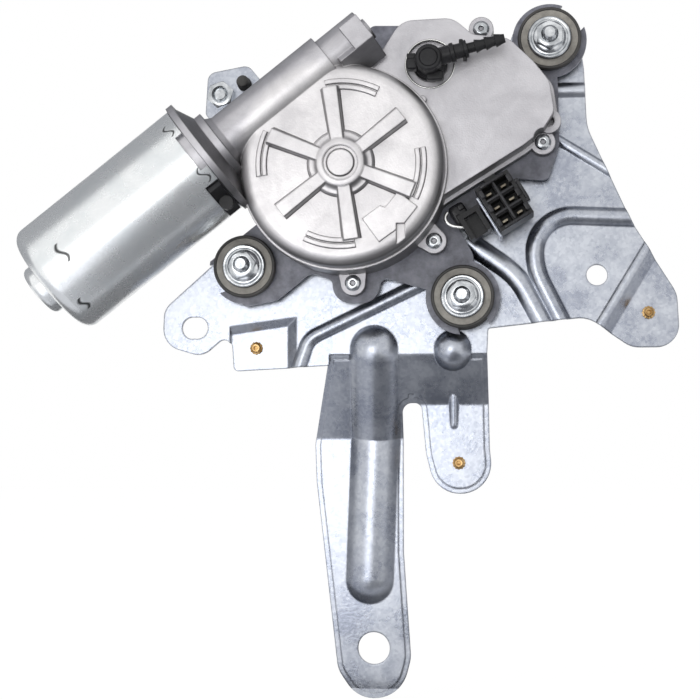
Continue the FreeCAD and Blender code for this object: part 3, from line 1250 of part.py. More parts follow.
def worm_shape():
    """Motor shaft with a one-start worm thread on it."""
    pitch = math.pi * value("gear_module")
    radius = value("worm_pitch_radius")
    module = value("gear_module")
    turns = value("worm_turns")
    length = turns * pitch
    root = radius - 1.25 * module
    tip = radius + module
    slope = math.tan(math.radians(20))
    half = pitch / 4 - value("tooth_play") / 2
    sunk = root - 0.4
    helix = Part.Wire(Part.makeHelix(pitch, length, root))
    section = Part.makePolygon([FreeCAD.Vector(sunk, 0, -half - (radius - sunk) * slope),
                                FreeCAD.Vector(tip, 0, -half + module * slope),
                                FreeCAD.Vector(tip, 0, half - module * slope),
                                FreeCAD.Vector(sunk, 0, half + (radius - sunk) * slope),
                                FreeCAD.Vector(sunk, 0, -half - (radius - sunk) * slope)])
    thread = helix.makePipeShell([section], True, True)
    thread.translate(FreeCAD.Vector(0, 0, -length / 2))
    core_bar = Part.makeCylinder(root, length + pitch, FreeCAD.Vector(0, 0, -(length + pitch) / 2))
    worm = core_bar.fuse(thread)
    worm.rotate(FreeCAD.Vector(0, 0, 0), Y_WAY, 90)
    start = value(CAN_BACK) + value("can_wall") + 0.5
    end = value("nose_end") - 5.0
    shaft = Part.makeCylinder(value("shaft_radius"), end - start, FreeCAD.Vector(start, 0, 0), X_WAY)
    return on_line(shaft.fuse(worm))


nodes.append(shaped("worm_shaft", worm_shape()))
nodes.append(shaped("worm_wheel", wheel_shape()))

# Wheel axle, its clip and washer
AXLE_END = f"({WHEEL_BACK}-0.9)"
nodes.append(turned_post("wheel_axle", [
    ("0", f"{HUB_FRONT}+0.4"), ("axle_radius-0.6", f"{HUB_FRONT}+0.4"), ("axle_radius", f"{HUB_FRONT}+1"),
    ("axle_radius", f"{DOME_FRONT}+dome_wall+0.2"), ("axle_bore_radius", f"{DOME_FRONT}+dome_wall+0.2"),
    ("axle_bore_radius", f"{AXLE_END}-1.1"), ("axle_bore_radius-0.5", f"{AXLE_END}-1.1"),
    ("axle_bore_radius-0.5", f"{AXLE_END}-0.5"), ("axle_bore_radius", f"{AXLE_END}-0.5"),
    ("axle_bore_radius", AXLE_END), ("0", AXLE_END)], "wheel_axis_x", "wheel_axis_z"))
nodes.append(turned_post("wheel_thrust_washer", [
    ("axle_bore_radius+0.05", f"{DOME_FRONT}+dome_wall+0.25"),
    ("axle_bore_radius+4", f"{DOME_FRONT}+dome_wall+0.25"),
    ("axle_bore_radius+4", f"{WHEEL_FRONT}-0.1"), ("axle_bore_radius+0.05", f"{WHEEL_FRONT}-0.1")],
    "wheel_axis_x", "wheel_axis_z"))
nodes.append(turned_post("wheel_clip", [
    ("axle_bore_radius-0.45", f"{AXLE_END}-1.05"), ("clip_radius", f"{AXLE_END}-1.05"),
    ("clip_radius", f"{AXLE_END}-0.55"), ("axle_bore_radius-0.45", f"{AXLE_END}-0.55")],
    "wheel_axis_x", "wheel_axis_z"))

# Crank pin and connecting rod
nodes.append(shaped("crank_pin", disc(*crank_world, value("crank_radius") - 0.01,
                                      value(WHEEL_BACK) - 4.9, value(ROD_BACK) + 0.35)))


def rod_shape():
    """Flat rod between the crank pin and the sector's lever: two eyes and a waisted bar."""
    front, back = value(ROD_FRONT), value(ROD_BACK)
    eye = value("rod_eye_radius")
    small = eye - 1.0
    along = FreeCAD.Vector(LEVER_X - crank_world[0], 0, LEVER_Z - crank_world[1])
    side = FreeCAD.Vector(0, 1, 0).cross(along).normalize()
    start = FreeCAD.Vector(crank_world[0], 0, crank_world[1])
    bar = Part.makePolygon([start + side * 3.4, start + along + side * 2.8,
                            start + along - side * 2.8, start - side * 3.4, start + side * 3.4])
    rod = prism(bar, front, back)
    rod = rod.fuse([disc(*crank_world, eye, front, back), disc(LEVER_X, LEVER_Z, small, front, back)])
    rod = rod.cut(disc(*crank_world, value("crank_radius+running_clearance"), front - 1, back + 1))
    return rod.cut(disc(LEVER_X, LEVER_Z, 2.6, front - 1, back + 1)).removeSplitter()


nodes.append(shaped("connecting_rod", rod_shape()))

# Toothed sector and output pinion
OUTPUT_TEETH = int(round(value("2*pinion_radius/output_module")))
SECTOR_TEETH = int(round(value("2*sector_radius/output_module")))
mesh_angle = math.atan2(-sector_z, -sector_x)


def sector_shape():
    """A fan of teeth and a lever on one hub."""
    front, back = value(SECTOR_FRONT), value(SECTOR_BACK)
    module = value("output_module")
    radius = value("sector_radius")
    gear = prism(gear_outline(radius, module, SECTOR_TEETH, value("output_play"), 3, mesh_angle), front, back)
    margin = math.radians(17)
    first, last = mesh_angle - margin, mesh_angle + math.radians(sector_sweep) + margin
    reach = 1.3 * (radius + module)
    steps = [first + (last - first) * step / 4 for step in range(5)]
    fan = [FreeCAD.Vector(0, 0, 0)]
    fan += [FreeCAD.Vector(reach * math.cos(a), 0, reach * math.sin(a)) for a in steps]
    gear = gear.common(prism(Part.makePolygon(fan + fan[:1]), front, back))
    window = [FreeCAD.Vector(r * math.cos(a), 0, r * math.sin(a)) for r, a in (
        (8.5, first + 0.42), (radius - 4.2, first + 0.24), (radius - 4.2, (first + last) / 2),
        (radius - 4.2, last - 0.24), (8.5, last - 0.42))]
    gear = gear.cut(prism(Part.makePolygon(window + window[:1]), front - 1, back + 1))
    tip = FreeCAD.Vector(LEVER_X - sector_x, 0, LEVER_Z - sector_z)
    side = FreeCAD.Vector(0, 1, 0).cross(tip).normalize()
    arm = prism(Part.makePolygon([side * 5.5, tip + side * 3.6, tip - side * 3.6, side * -5.5, side * 5.5]),
                front, back)
    hub = disc(0, 0, value("sector_pin_radius") + 3.4, front, value(CARRIER_FRONT) - 0.3)
    body = gear.fuse([arm, hub, disc(tip.x, tip.z, 4.4, front, back)])
    body = body.cut(disc(0, 0, value("sector_pin_radius+running_clearance"), -60, 0))
    body = body.cut(disc(tip.x, tip.z, 2.5, -60, 0))
    body.translate(FreeCAD.Vector(sector_x, 0, sector_z))
    return body.removeSplitter()


nodes.append(shaped("sector_gear", sector_shape()))
nodes.append(shaped("lever_pin", disc(LEVER_X, LEVER_Z, 2.49,
                                      value(SECTOR_FRONT) + 0.02, value(SECTOR_BACK) + 1.2)))
nodes.append(turned_post("sector_pin", [
    ("0", f"{SECTOR_FRONT}-0.3"), ("sector_pin_radius", f"{SECTOR_FRONT}-0.3"),
    ("sector_pin_radius", f"{CARRIER_BACK}+0.02"), ("sector_pin_radius+1.6", f"{CARRIER_BACK}+0.02"),
    ("sector_pin_radius+1.2", f"{CARRIER_BACK}+1.4"), ("0", f"{CARRIER_BACK}+1.4")], SECTOR_X, SECTOR_Z))


def pinion_shape():
    """Output pinion with a plain hub behind its teeth."""
    front, back = value(SECTOR_FRONT), value(SECTOR_BACK)
    gap = mesh_angle + math.pi + math.pi / OUTPUT_TEETH
    gear = prism(gear_outline(value("pinion_radius"), value("output_module"), OUTPUT_TEETH,
                              value("output_play"), 3, gap), front, back)
    gear = gear.fuse(disc(0, 0, value("pinion_radius") - 1.6, back, value(CARRIER_FRONT) - 0.3))
    return gear.cut(disc(0, 0, value("spindle_radius") + 0.01, front - 1, 0)).removeSplitter()


nodes.append(shaped("output_pinion", pinion_shape()))

# Output spindle with its bushes, tube and seal
CUP_FLOOR = f"({CASE_FRONT}+cup_depth)"
nodes.append(turned_post("output_spindle", [
    ("water_bore_radius", f"{CUP_FLOOR}+0.3"), ("spindle_radius", f"{CUP_FLOOR}+0.3"),
    ("spindle_radius", "spindle_tube_end+4"), ("spindle_radius-0.7", "spindle_tube_end+10.5"),
    ("spindle_radius-1", "spindle_tube_end+10.7"), ("spindle_radius-1", "spindle_end-0.8"),
    ("spindle_radius-1.7", "spindle_end"), ("water_bore_radius", "spindle_end")]))
nodes.append(turned_post("front_spindle_bush", [
    ("spindle_radius+running_clearance", f"{CUP_FLOOR}+0.2"), ("spindle_radius+1.48", f"{CUP_FLOOR}+0.2"),
    ("spindle_radius+1.48", f"{OUTPUT_FLOOR}-0.05"),
    ("spindle_radius+running_clearance", f"{OUTPUT_FLOOR}-0.05")]))
nodes.append(turned_post("spindle_tube", [
    ("spindle_radius+1.5", CARRIER_FRONT), ("spindle_tube_radius", CARRIER_FRONT),
    ("spindle_tube_radius", f"{CARRIER_BACK}+0.02"), ("spindle_tube_radius+5", f"{CARRIER_BACK}+0.02"),
    ("spindle_tube_radius+5", f"{CARRIER_BACK}+2"), ("spindle_tube_radius+1.5", f"{CARRIER_BACK}+3.2"),
    ("spindle_tube_radius", f"{CARRIER_BACK}+6"), ("spindle_tube_radius", "spindle_tube_end-1"),
    ("spindle_tube_radius-0.6", "spindle_tube_end"), ("spindle_radius+1.5", "spindle_tube_end")]))
nodes.append(group("spindle_bushes", turned_post("spindle_bush_pattern", [
    ("spindle_radius+running_clearance", "0"), ("spindle_radius+1.48", "0"),
    ("spindle_radius+1.48", "9"), ("spindle_radius+running_clearance", "9")]),
    [(0, value(CARRIER_FRONT) + 0.2, 0), (0, value("spindle_tube_end") - 12, 0)]))
nodes.append(turned_post("spindle_seal", [
    ("spindle_radius+0.06", "spindle_tube_end-2.6"), ("spindle_radius+1.45", "spindle_tube_end-2.6"),
    ("spindle_radius+1.45", "spindle_tube_end-0.4"), ("spindle_radius+0.06", "spindle_tube_end-0.4")]))

# Washer-fluid elbow on the spindle's front end
ELBOW_FRONT = f"({CASE_FRONT}-elbow_height)"
elbow = new_body("washer_elbow")
elbow_profile = polygon_sketch(elbow, "XY_Plane", "washer_elbow_profile", [
    ("0", ELBOW_FRONT), ("elbow_radius-1", ELBOW_FRONT), ("elbow_radius", f"{ELBOW_FRONT}+1"),
    ("elbow_radius", f"{CASE_FRONT}-3"), ("elbow_radius+1.6", f"{CASE_FRONT}-2"),
    ("cup_radius-1.2", f"{CASE_FRONT}-0.5"), ("cup_radius-1.2", f"{CUP_FLOOR}-0.05"),
    ("water_bore_radius-0.2", f"{CUP_FLOOR}-0.05"), ("water_bore_radius-0.2", f"{OUTPUT_FLOOR}"),
    ("0", OUTPUT_FLOOR)])
turn(elbow, elbow_profile, "V_Axis", "elbow_turning")
nozzle_way = FreeCAD.Vector(math.cos(math.radians(value("nozzle_angle"))), -0.04,
                            math.sin(math.radians(value("nozzle_angle"))))
NOZZLE_LEVEL = f"({ELBOW_FRONT}+4.6)"
part_bar(elbow, "nozzle_root", ("0", NOZZLE_LEVEL, "0"), nozzle_way, "nozzle_radius+1.9", "12")
part_bar(elbow, "nozzle_collar", ("11.5*cos(nozzle_angle)", f"{NOZZLE_LEVEL}-0.45", "11.5*sin(nozzle_angle)"),
         nozzle_way, "nozzle_radius+1.2", "3.5")
part_bar(elbow, "nozzle", ("0", NOZZLE_LEVEL, "0"), nozzle_way, "nozzle_radius", "nozzle_length")
for number, along in enumerate((20.0, 25.0, 28.6), start=1):
    barb = elbow.newObject("PartDesign::AdditiveCone", f"nozzle_barb_{number}")
    barb.Placement = FreeCAD.Placement(FreeCAD.Vector(0, value(NOZZLE_LEVEL), 0) + nozzle_way * along,
                                       FreeCAD.Rotation(FreeCAD.Vector(0, 0, 1), nozzle_way))
    barb.Radius1 = value("nozzle_radius") + 0.6
    barb.Radius2 = value("nozzle_radius")
    barb.Height = 1.8
part_box(elbow, "elbow_latch_arm", ("-elbow_radius-3.2", f"{CASE_FRONT}-7.5", "-4.5"), ("5", "7", "5.5"))
part_box(elbow, "elbow_foot", ("-2.6", f"{CASE_FRONT}-4.5", "-elbow_radius-3.4"), ("8.5", "4", "4.2"))
doc.recompute()
nodes.append(elbow)

# Rubber mounts: grommet, steel sleeve, stud, washer and nut at each of three places
grommet = turned_post("grommet_pattern", [
    ("sleeve_radius+0.05", f"{SHEET_FRONT}-0.02"), ("grommet_radius-1.2", f"{SHEET_FRONT}-0.02"),
    ("grommet_radius", f"{SHEET_FRONT}-1.2"), ("grommet_radius", f"{CARRIER_BACK}+0.1"),
    ("grommet_neck_radius", f"{CARRIER_BACK}+0.1"), ("grommet_neck_radius", f"{CARRIER_FRONT}-0.1"),
    ("grommet_radius", f"{CARRIER_FRONT}-0.1"), ("grommet_radius", f"{GROMMET_FRONT}+1.6"),
    ("grommet_radius-1.2", f"{GROMMET_FRONT}+0.5"), ("washer_radius+1", f"{GROMMET_FRONT}+0.5"),
    ("washer_radius+0.5", f"{GROMMET_FRONT}"), ("sleeve_radius+0.05", f"{GROMMET_FRONT}")])
nodes.append(group("rubber_grommets", grommet, at_places(STUDS)))
sleeve = turned_post("sleeve_pattern", [
    ("sleeve_radius-sleeve_wall", f"{SHEET_FRONT}-0.02"), ("sleeve_radius", f"{SHEET_FRONT}-0.02"),
    ("sleeve_radius", GROMMET_FRONT), ("sleeve_radius-sleeve_wall", GROMMET_FRONT)])
nodes.append(group("mount_sleeves", sleeve, at_places(STUDS)))
WASHER_FRONT = f"({GROMMET_FRONT}-washer_thickness)"
NUT_FRONT = f"({WASHER_FRONT}-nut_height)"
stud = turned_post("stud_pattern", [
    ("0", f"{SHEET_BACK}+stud_head_height"), ("stud_head_radius-0.8", f"{SHEET_BACK}+stud_head_height"),
    ("stud_head_radius", f"{SHEET_BACK}+0.6"), ("stud_head_radius", f"{SHEET_BACK}+0.01"),
    ("stud_radius", f"{SHEET_BACK}+0.01"), ("stud_radius", f"{NUT_FRONT}-stud_reach+0.7"),
    ("stud_radius-0.7", f"{NUT_FRONT}-stud_reach"), ("0", f"{NUT_FRONT}-stud_reach")])
nodes.append(group("bracket_studs", stud, at_places(STUDS)))
washer = turned_post("washer_pattern", [
    ("stud_radius+0.2", f"{WASHER_FRONT}"), ("washer_radius-0.6", f"{WASHER_FRONT}"),
    ("washer_radius", f"{WASHER_FRONT}+0.6"), ("washer_radius", f"{GROMMET_FRONT}-0.02"),
    ("stud_radius+0.2", f"{GROMMET_FRONT}-0.02")])
nodes.append(group("mount_washers", washer, at_places(STUDS)))


def hexagon(across_flats):
    """Corner formulas of a hexagon with two corners on the Z line."""
    reach = f"({across_flats}/sqrt(3))"
    return [(f"{reach}*sin({60 * corner})", f"{reach}*cos({60 * corner})") for corner in range(6)]


nut = new_body("nut_pattern", f"{WASHER_FRONT}-0.02")
nut_pad = pad(nut, polygon_sketch(nut, "XZ_Plane", "nut_hexagon", hexagon("nut_flats")),
              "nut_height-0.02", "nut_block")
doc.recompute()
nut_edges = [f"Edge{index}" for index, edge in enumerate(nut_pad.Shape.Edges, start=1)
             if abs(edge.CenterOfMass.y + value("nut_height") - 0.02) < 0.01]
nut_chamfer = nut.newObject("PartDesign::Chamfer", "nut_chamfer")
nut_chamfer.Base = (nut_pad, nut_edges)
nut_chamfer.Size = 0.7
pocket(nut, circle_sketch(nut, "XZ_Plane", "nut_bore", [("0", "0", "stud_radius+0.04")]),
       "nut_height+1", "nut_hole")
nodes.append(group("mount_nuts", nut, at_places(STUDS)))

# Case screws
case_screw = turned_post("case_screw_pattern", [
    ("0", f"{CARRIER_BACK}+1.5"), ("case_screw_radius-0.4", f"{CARRIER_BACK}+1.5"),
    ("case_screw_radius", f"{CARRIER_BACK}+1"), ("case_screw_radius", f"{EAR_FRONT}-0.02"),
    ("case_screw_head_radius", f"{EAR_FRONT}-0.02"),
    ("case_screw_head_radius", f"{EAR_FRONT}-case_screw_head_height+0.6"),
    ("case_screw_head_radius-0.8", f"{EAR_FRONT}-case_screw_head_height"),
    ("0", f"{EAR_FRONT}-case_screw_head_height")])
nodes.append(group("case_screws", case_screw, at_places(EARS)))

# Brass pins that locate the bracket
pin = turned_post("pin_pattern", [
    ("0", "pin_reach+sheet_thickness"), ("pin_radius-0.7", "pin_reach+sheet_thickness"),
    ("pin_radius", "pin_reach+sheet_thickness-0.9"), ("pin_radius", "-0.02"), ("pin_head_radius", "-0.02"),
    ("pin_head_radius", "-pin_head_height+0.7"), ("pin_head_radius-0.8", "-pin_head_height"),
    ("0", "-pin_head_height")])
nodes.append(group("locating_pins", pin, [
    (value("wing_pin_x"), value(LOBE_FRONT), value("wing_pin_z")),
    (value("tab_pin_x"), value(TAB_FRONT), value("tab_pin_z")),
    (value("left_pin_x"), value(LOBE_FRONT), value("left_pin_z"))]))

# Weld nut and rubber buffer on the upper lug
lug_nut = new_body("lug_nut", f"{SHEET_FRONT}-0.02", "lug_nut_x", "lug_nut_z")
pad(lug_nut, polygon_sketch(lug_nut, "XZ_Plane", "lug_nut_hexagon", hexagon("nut_flats")),
    "nut_height", "lug_nut_block")
pocket(lug_nut, circle_sketch(lug_nut, "XZ_Plane", "lug_nut_bore", [("0", "0", "stud_radius-0.5")]),
       "nut_height+1", "lug_nut_hole")
nodes.append(lug_nut)
nodes.append(turned_post("lug_buffer", [
    ("0", f"{SHEET_FRONT}-buffer_height"), ("buffer_radius-1.2", f"{SHEET_FRONT}-buffer_height"),
    ("buffer_radius", f"{SHEET_FRONT}-buffer_height+1.2"), ("buffer_radius", f"{SHEET_FRONT}-0.02"),
    ("0", f"{SHEET_FRONT}-0.02")], "buffer_x", "buffer_z"))

# Electrical connector: an open black socket with its terminals, and the harness clip beside it


def on_connector(item):
    """Turn a body made upright to the connector's own angle and place."""
    item.Placement = FreeCAD.Placement(
        FreeCAD.Vector(value("connector_x"), value(CARRIER_FRONT) - 0.02, value("connector_z")),
        FreeCAD.Rotation(Y_WAY, -value("connector_angle")))
    for axis, text in (("x", "connector_x"), ("y", f"{CARRIER_FRONT}-0.02"), ("z", "connector_z")):
        item.setExpression(f"Placement.Base.{axis}", formula(text))


socket = doc.addObject("PartDesign::Body", "connector_housing")
half_wide, half_long = "(connector_width/2)", "(connector_length/2)"
pad(socket, polygon_sketch(socket, "XZ_Plane", "socket_outline", [
    (f"-{half_wide}", f"-{half_long}"), (half_wide, f"-{half_long}"), (half_wide, half_long),
    (f"-{half_wide}", half_long)]), "connector_depth", "socket_block")
doc.recompute()
part_box(socket, "socket_mouth", (f"-{half_wide}+connector_wall", "-connector_depth-1",
                                  f"-{half_long}+connector_wall"),
         ("connector_width-2*connector_wall", "socket_mouth_depth+1", "connector_length-2*connector_wall"),
         cutting=True)
cell_wide = "(connector_width-3*connector_wall)/2"
cell_long = "(connector_length-4*connector_wall)/3"
for column in range(2):
    for level in range(3):
        part_box(socket, f"socket_cell_{column}_{level}",
                 (f"-{half_wide}+connector_wall+{column}*({cell_wide}+connector_wall)", "-connector_depth-1",
                  f"-{half_long}+connector_wall+{level}*({cell_long}+connector_wall)"),
                 (cell_wide, "connector_depth-1.5", cell_long), cutting=True)
part_box(socket, "socket_latch", ("-2.5", "-connector_depth+2", f"{half_long}-0.1"), ("5", "6", "1.8"))
part_box(socket, "socket_key", (f"{half_wide}-0.1", "-connector_depth+1", "-3"), ("1.3", "10", "6"))
doc.recompute()
on_connector(socket)
nodes.append(socket)


def terminals():
    """A flat blade standing in each cell of the socket."""
    wide = value(cell_wide)
    tall = value(cell_long)
    wall = value("connector_wall")
    blades = []
    for column in range(2):
        for level in range(3):
            x = -value(half_wide) + wall + column * (wide + wall) + wide / 2
            z = -value(half_long) + wall + level * (tall + wall) + tall / 2
            blade = Part.makeBox(2.2, value("connector_depth") - 9.2, 0.8, FreeCAD.Vector(
                x - 1.1, -value("connector_depth") + 6.7, z - 0.4))
            blades.append(blade)
    pins = Part.makeCompound(blades)
    pins.Placement = FreeCAD.Placement(
        FreeCAD.Vector(value("connector_x"), value(CARRIER_FRONT) - 0.02, value("connector_z")),
        FreeCAD.Rotation(Y_WAY, -value("connector_angle")))
    return pins


nodes.append(shaped("connector_terminals", terminals()))
clip = doc.addObject("PartDesign::Body", "harness_clip")
pad(clip, polygon_sketch(clip, "XZ_Plane", "harness_clip_outline", [
    (f"-{half_wide}-11.5", "-6"), (f"-{half_wide}-2.2", "-6"), (f"-{half_wide}-2.2", "5"),
    (f"-{half_wide}-11.5", "5")]), "connector_depth-4", "harness_clip_block")
doc.recompute()
part_box(clip, "clip_channel", (f"-{half_wide}-9.6", "-connector_depth", "-7"), ("5.6", "8", "10"),
         cutting=True)
doc.recompute()
on_connector(clip)
nodes.append(clip)
plate = doc.addObject("PartDesign::Body", "connector_holder")
pad(plate, polygon_sketch(plate, "XZ_Plane", "connector_holder_outline", [
    (f"-{half_wide}-1.4", f"-{half_long}-1.5"), (f"-{half_wide}-0.3", f"-{half_long}-1.5"),
    (f"-{half_wide}-0.3", f"{half_long}-3"), (f"-{half_wide}-1.4", f"{half_long}-3")]),
    "connector_depth-2.5", "connector_holder_sheet")
doc.recompute()
on_connector(plate)
nodes.append(plate)

# Check everything, then write one file per node
doc.recompute()
faults = [item.Label for item in doc.Objects if "Invalid" in item.State or "Error" in item.State]
faults += [node.Label for node in nodes if node.Shape.isNull() or not node.Shape.isValid()]
if faults:
    raise RuntimeError(f"faulty objects: {faults}")
for node in nodes:
    node.Shape.exportStep(f"parts/{node.Label}.step")
    print(f"{node.Label:24s} {len(node.Shape.Solids)} solid(s) {node.Shape.Volume / 1000:9.3f} cm3")
print(len(nodes), "nodes")
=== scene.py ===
# %% [markdown]
# # A rear-window wiper motor, dressed for its portrait
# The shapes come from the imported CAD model, which stays exactly where it is. This script gives every
# piece a worked-out finish, adds the fine pieces that a CAD solid leaves out, and sets the light.

import json
import math

import bmesh
import bpy
import numpy as np
from mathutils import Matrix, Vector


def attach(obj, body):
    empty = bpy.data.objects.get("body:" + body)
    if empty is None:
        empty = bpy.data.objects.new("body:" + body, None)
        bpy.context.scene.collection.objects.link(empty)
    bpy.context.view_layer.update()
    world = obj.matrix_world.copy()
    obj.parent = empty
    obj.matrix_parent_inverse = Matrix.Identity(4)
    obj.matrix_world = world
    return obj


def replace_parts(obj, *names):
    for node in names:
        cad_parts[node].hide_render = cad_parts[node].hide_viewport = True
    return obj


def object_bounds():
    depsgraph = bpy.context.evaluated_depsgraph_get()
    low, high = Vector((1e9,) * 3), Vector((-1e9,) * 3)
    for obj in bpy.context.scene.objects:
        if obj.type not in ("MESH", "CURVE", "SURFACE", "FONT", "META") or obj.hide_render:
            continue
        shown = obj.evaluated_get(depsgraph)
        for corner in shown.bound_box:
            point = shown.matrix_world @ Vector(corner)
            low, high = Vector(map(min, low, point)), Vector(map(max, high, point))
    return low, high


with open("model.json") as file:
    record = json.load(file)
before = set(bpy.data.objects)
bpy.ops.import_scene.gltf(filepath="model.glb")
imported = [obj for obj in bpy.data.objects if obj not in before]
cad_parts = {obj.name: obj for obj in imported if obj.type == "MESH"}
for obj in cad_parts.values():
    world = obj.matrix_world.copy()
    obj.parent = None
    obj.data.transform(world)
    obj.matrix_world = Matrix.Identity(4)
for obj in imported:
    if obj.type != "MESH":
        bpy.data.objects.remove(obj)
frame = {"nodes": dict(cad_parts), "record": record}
cad_low, cad_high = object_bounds()
NODES = frame["nodes"]
print("CAD box in mm:", np.round((np.array(cad_high) - np.array(cad_low)) * 1000, 1))

# %% [markdown]
# ## The camera
# The photo was taken from slightly right of the motor and slightly below it. A distance of 0.7 m with
# this lens gives 0.42 mm per pixel at the bracket, so the perspective of hub, dome and cup agrees.

# %% Camera
scene = bpy.context.scene
MM = 0.001
AIM = Vector((-36.336, 0.0, -110.919)) * MM
AZIMUTH, ELEVATION = math.radians(6.0), math.radians(-4.0)
DISTANCE = 0.7
looking = Vector((-math.sin(AZIMUTH) * math.cos(ELEVATION),
                  math.cos(AZIMUTH) * math.cos(ELEVATION), -math.sin(ELEVATION)))
camera = bpy.data.objects.new("camera", bpy.data.cameras.new("camera"))
scene.collection.objects.link(camera)
camera.location = AIM - looking * DISTANCE
camera.rotation_euler = looking.to_track_quat("-Z", "Y").to_euler()
camera.data.sensor_width = 36.0
camera.data.lens = 36.0 * (DISTANCE / 0.42e-3) / 700
camera.data.clip_start, camera.data.clip_end = 0.01, 50.0
scene.camera = camera
print("lens", round(camera.data.lens, 2), "mm")

# %% [markdown]
# ## Node materials in a few words
# A helper keeps each finish short: it makes a Principled shader and hands back the node tree. Patterns
# read Object coordinates, which for these pieces are plain metres, so a noise scale of 1000 is one
# blotch per millimetre.

# %% Material helpers


def new_finish(name, **sockets):
    """A material with one Principled shader whose named sockets get the given constants."""
    material = bpy.data.materials.new(name)
    material.use_nodes = True
    tree = material.node_tree
    shader = tree.nodes["Principled BSDF"]
    for socket, amount in sockets.items():
        shader.inputs[socket.replace("_", " ")].default_value = amount
    return material, tree, shader


def object_pattern(tree, kind, scale, stretch=(1, 1, 1), **settings):
    """A texture node that reads Object coordinates through a Mapping node."""
    where = tree.nodes.new("ShaderNodeTexCoord")
    mapping = tree.nodes.new("ShaderNodeMapping")
    mapping.inputs["Scale"].default_value = stretch
    tree.links.new(where.outputs["Object"], mapping.inputs["Vector"])
    texture = tree.nodes.new(kind)
    texture.inputs["Scale"].default_value = scale
    for name, amount in settings.items():
        texture.inputs[name].default_value = amount
    tree.links.new(mapping.outputs["Vector"], texture.inputs["Vector"])
    return texture


def ramp(tree, source, stops):
    """A colour ramp over a texture's output."""
    node = tree.nodes.new("ShaderNodeValToRGB")
    while len(node.color_ramp.elements) < len(stops):
        node.color_ramp.elements.new(0.5)
    for element, (place, colour) in zip(node.color_ramp.elements, stops):
        element.position = place
        element.color = (*colour, 1.0) if len(colour) == 3 else colour
    tree.links.new(source, node.inputs["Fac"])
    return node


def grey(amount):
    return (amount, amount, amount)


def bump(tree, shader, height, strength, distance, normal=None):
    """Raise and sink the surface by a texture's output, from a given normal where there is one."""
    node = tree.nodes.new("ShaderNodeBump")
    node.inputs["Strength"].default_value = strength
    node.inputs["Distance"].default_value = distance
    tree.links.new(height, node.inputs["Height"])
    if normal is not None:
        tree.links.new(normal, node.inputs["Normal"])
    tree.links.new(node.outputs["Normal"], shader.inputs["Normal"])
    return node


# %% [markdown]
# ## Painted shade on edges and steep walls
# Cut sheet edges and the steep walls of a casting are drawn darker than its faces: this is painted shade,
# where the walls turn from the light. This could be painted by hand. Here a Bevel node rounds the normal
# close to each edge, as wear does, and how squarely that normal faces a given way, Y for the sheet, drives a
# ramp of painted shade.

# %% Steep places


def facing_share(tree, radius, way=(0, 1, 0)):
    """The edge-rounded normal, and |normal . way|: about 1 on a face along Y and 0 on an upright wall."""
    worn = tree.nodes.new("ShaderNodeBevel")
    worn.samples = 6
    worn.inputs["Radius"].default_value = radius
    along = tree.nodes.new("ShaderNodeVectorMath")
    along.operation = "DOT_PRODUCT"
    along.inputs[1].default_value = way
    tree.links.new(worn.outputs["Normal"], along.inputs[0])
    size = tree.nodes.new("ShaderNodeMath")
    size.operation = "ABSOLUTE"
    tree.links.new(along.outputs["Value"], size.inputs[0])
    return worn.outputs["Normal"], size.outputs[0]


def times(tree, first, second):
    """Two colours multiplied."""
    product = tree.nodes.new("ShaderNodeMix")
    product.data_type = "RGBA"
    product.blend_type = "MULTIPLY"
    product.inputs["Factor"].default_value = 1.0
    tree.links.new(first, product.inputs[6])
    tree.links.new(second, product.inputs[7])
    return product.outputs[2]


# %% [markdown]
# ## Zinc-plated sheet
# The bracket is pressed from zinc-plated sheet. It is a bright metal with a faint crystal mottling, a
# little duller where it was drawn. Voronoi cells give the crystals and a slow noise the dull patches.

# %% Zinc sheet
zinc, tree, shader = new_finish("zinc_sheet", Metallic=1.0, Roughness=0.34)
crystals = object_pattern(tree, "ShaderNodeTexVoronoi", 800.0)
patches = object_pattern(tree, "ShaderNodeTexNoise", 70.0, Detail=8.0, Roughness=0.66)
mix = tree.nodes.new("ShaderNodeMix")
mix.data_type = "RGBA"
mix.inputs["Factor"].default_value = 0.16
tree.links.new(patches.outputs["Fac"], mix.inputs[6])
tree.links.new(crystals.outputs["Color"], mix.inputs[7])
colour = ramp(tree, mix.outputs[2], [(0.36, (0.34, 0.365, 0.43)), (0.62, (0.56, 0.585, 0.635))])
# Painted shade: where the normal turns from Y, at edges and on the ridges' flanks, the colour is darkened to
# less than half.
worn_normal, facing = facing_share(tree, 0.0009)
shade = ramp(tree, facing, [(0.0, grey(0.60)), (0.3, grey(0.44)), (0.62, grey(0.92)), (0.92, grey(1.0))])
tree.links.new(times(tree, colour.outputs["Color"], shade.outputs["Color"]), shader.inputs["Base Color"])
dull = ramp(tree, patches.outputs["Fac"], [(0.35, grey(0.24)), (0.7, grey(0.36))])
tree.links.new(dull.outputs["Color"], shader.inputs["Roughness"])
grain = object_pattern(tree, "ShaderNodeTexNoise", 900.0, Detail=3.0)
bump(tree, shader, grain.outputs["Fac"], 0.15, 0.0002, worn_normal)

# %% [markdown]
# ## Die-cast aluminium
# The housing is cast, so it has a soft grey skin with a fine grain, darker where the metal flowed slowly.

# %% Cast aluminium


# Painted light from the upper left: the walls that look up and to the left are the paler ones, so the way
# that the painted shade is measured from leans that way.
PAINTED_LIGHT_WAY = (0.20, 0.94, -0.27)


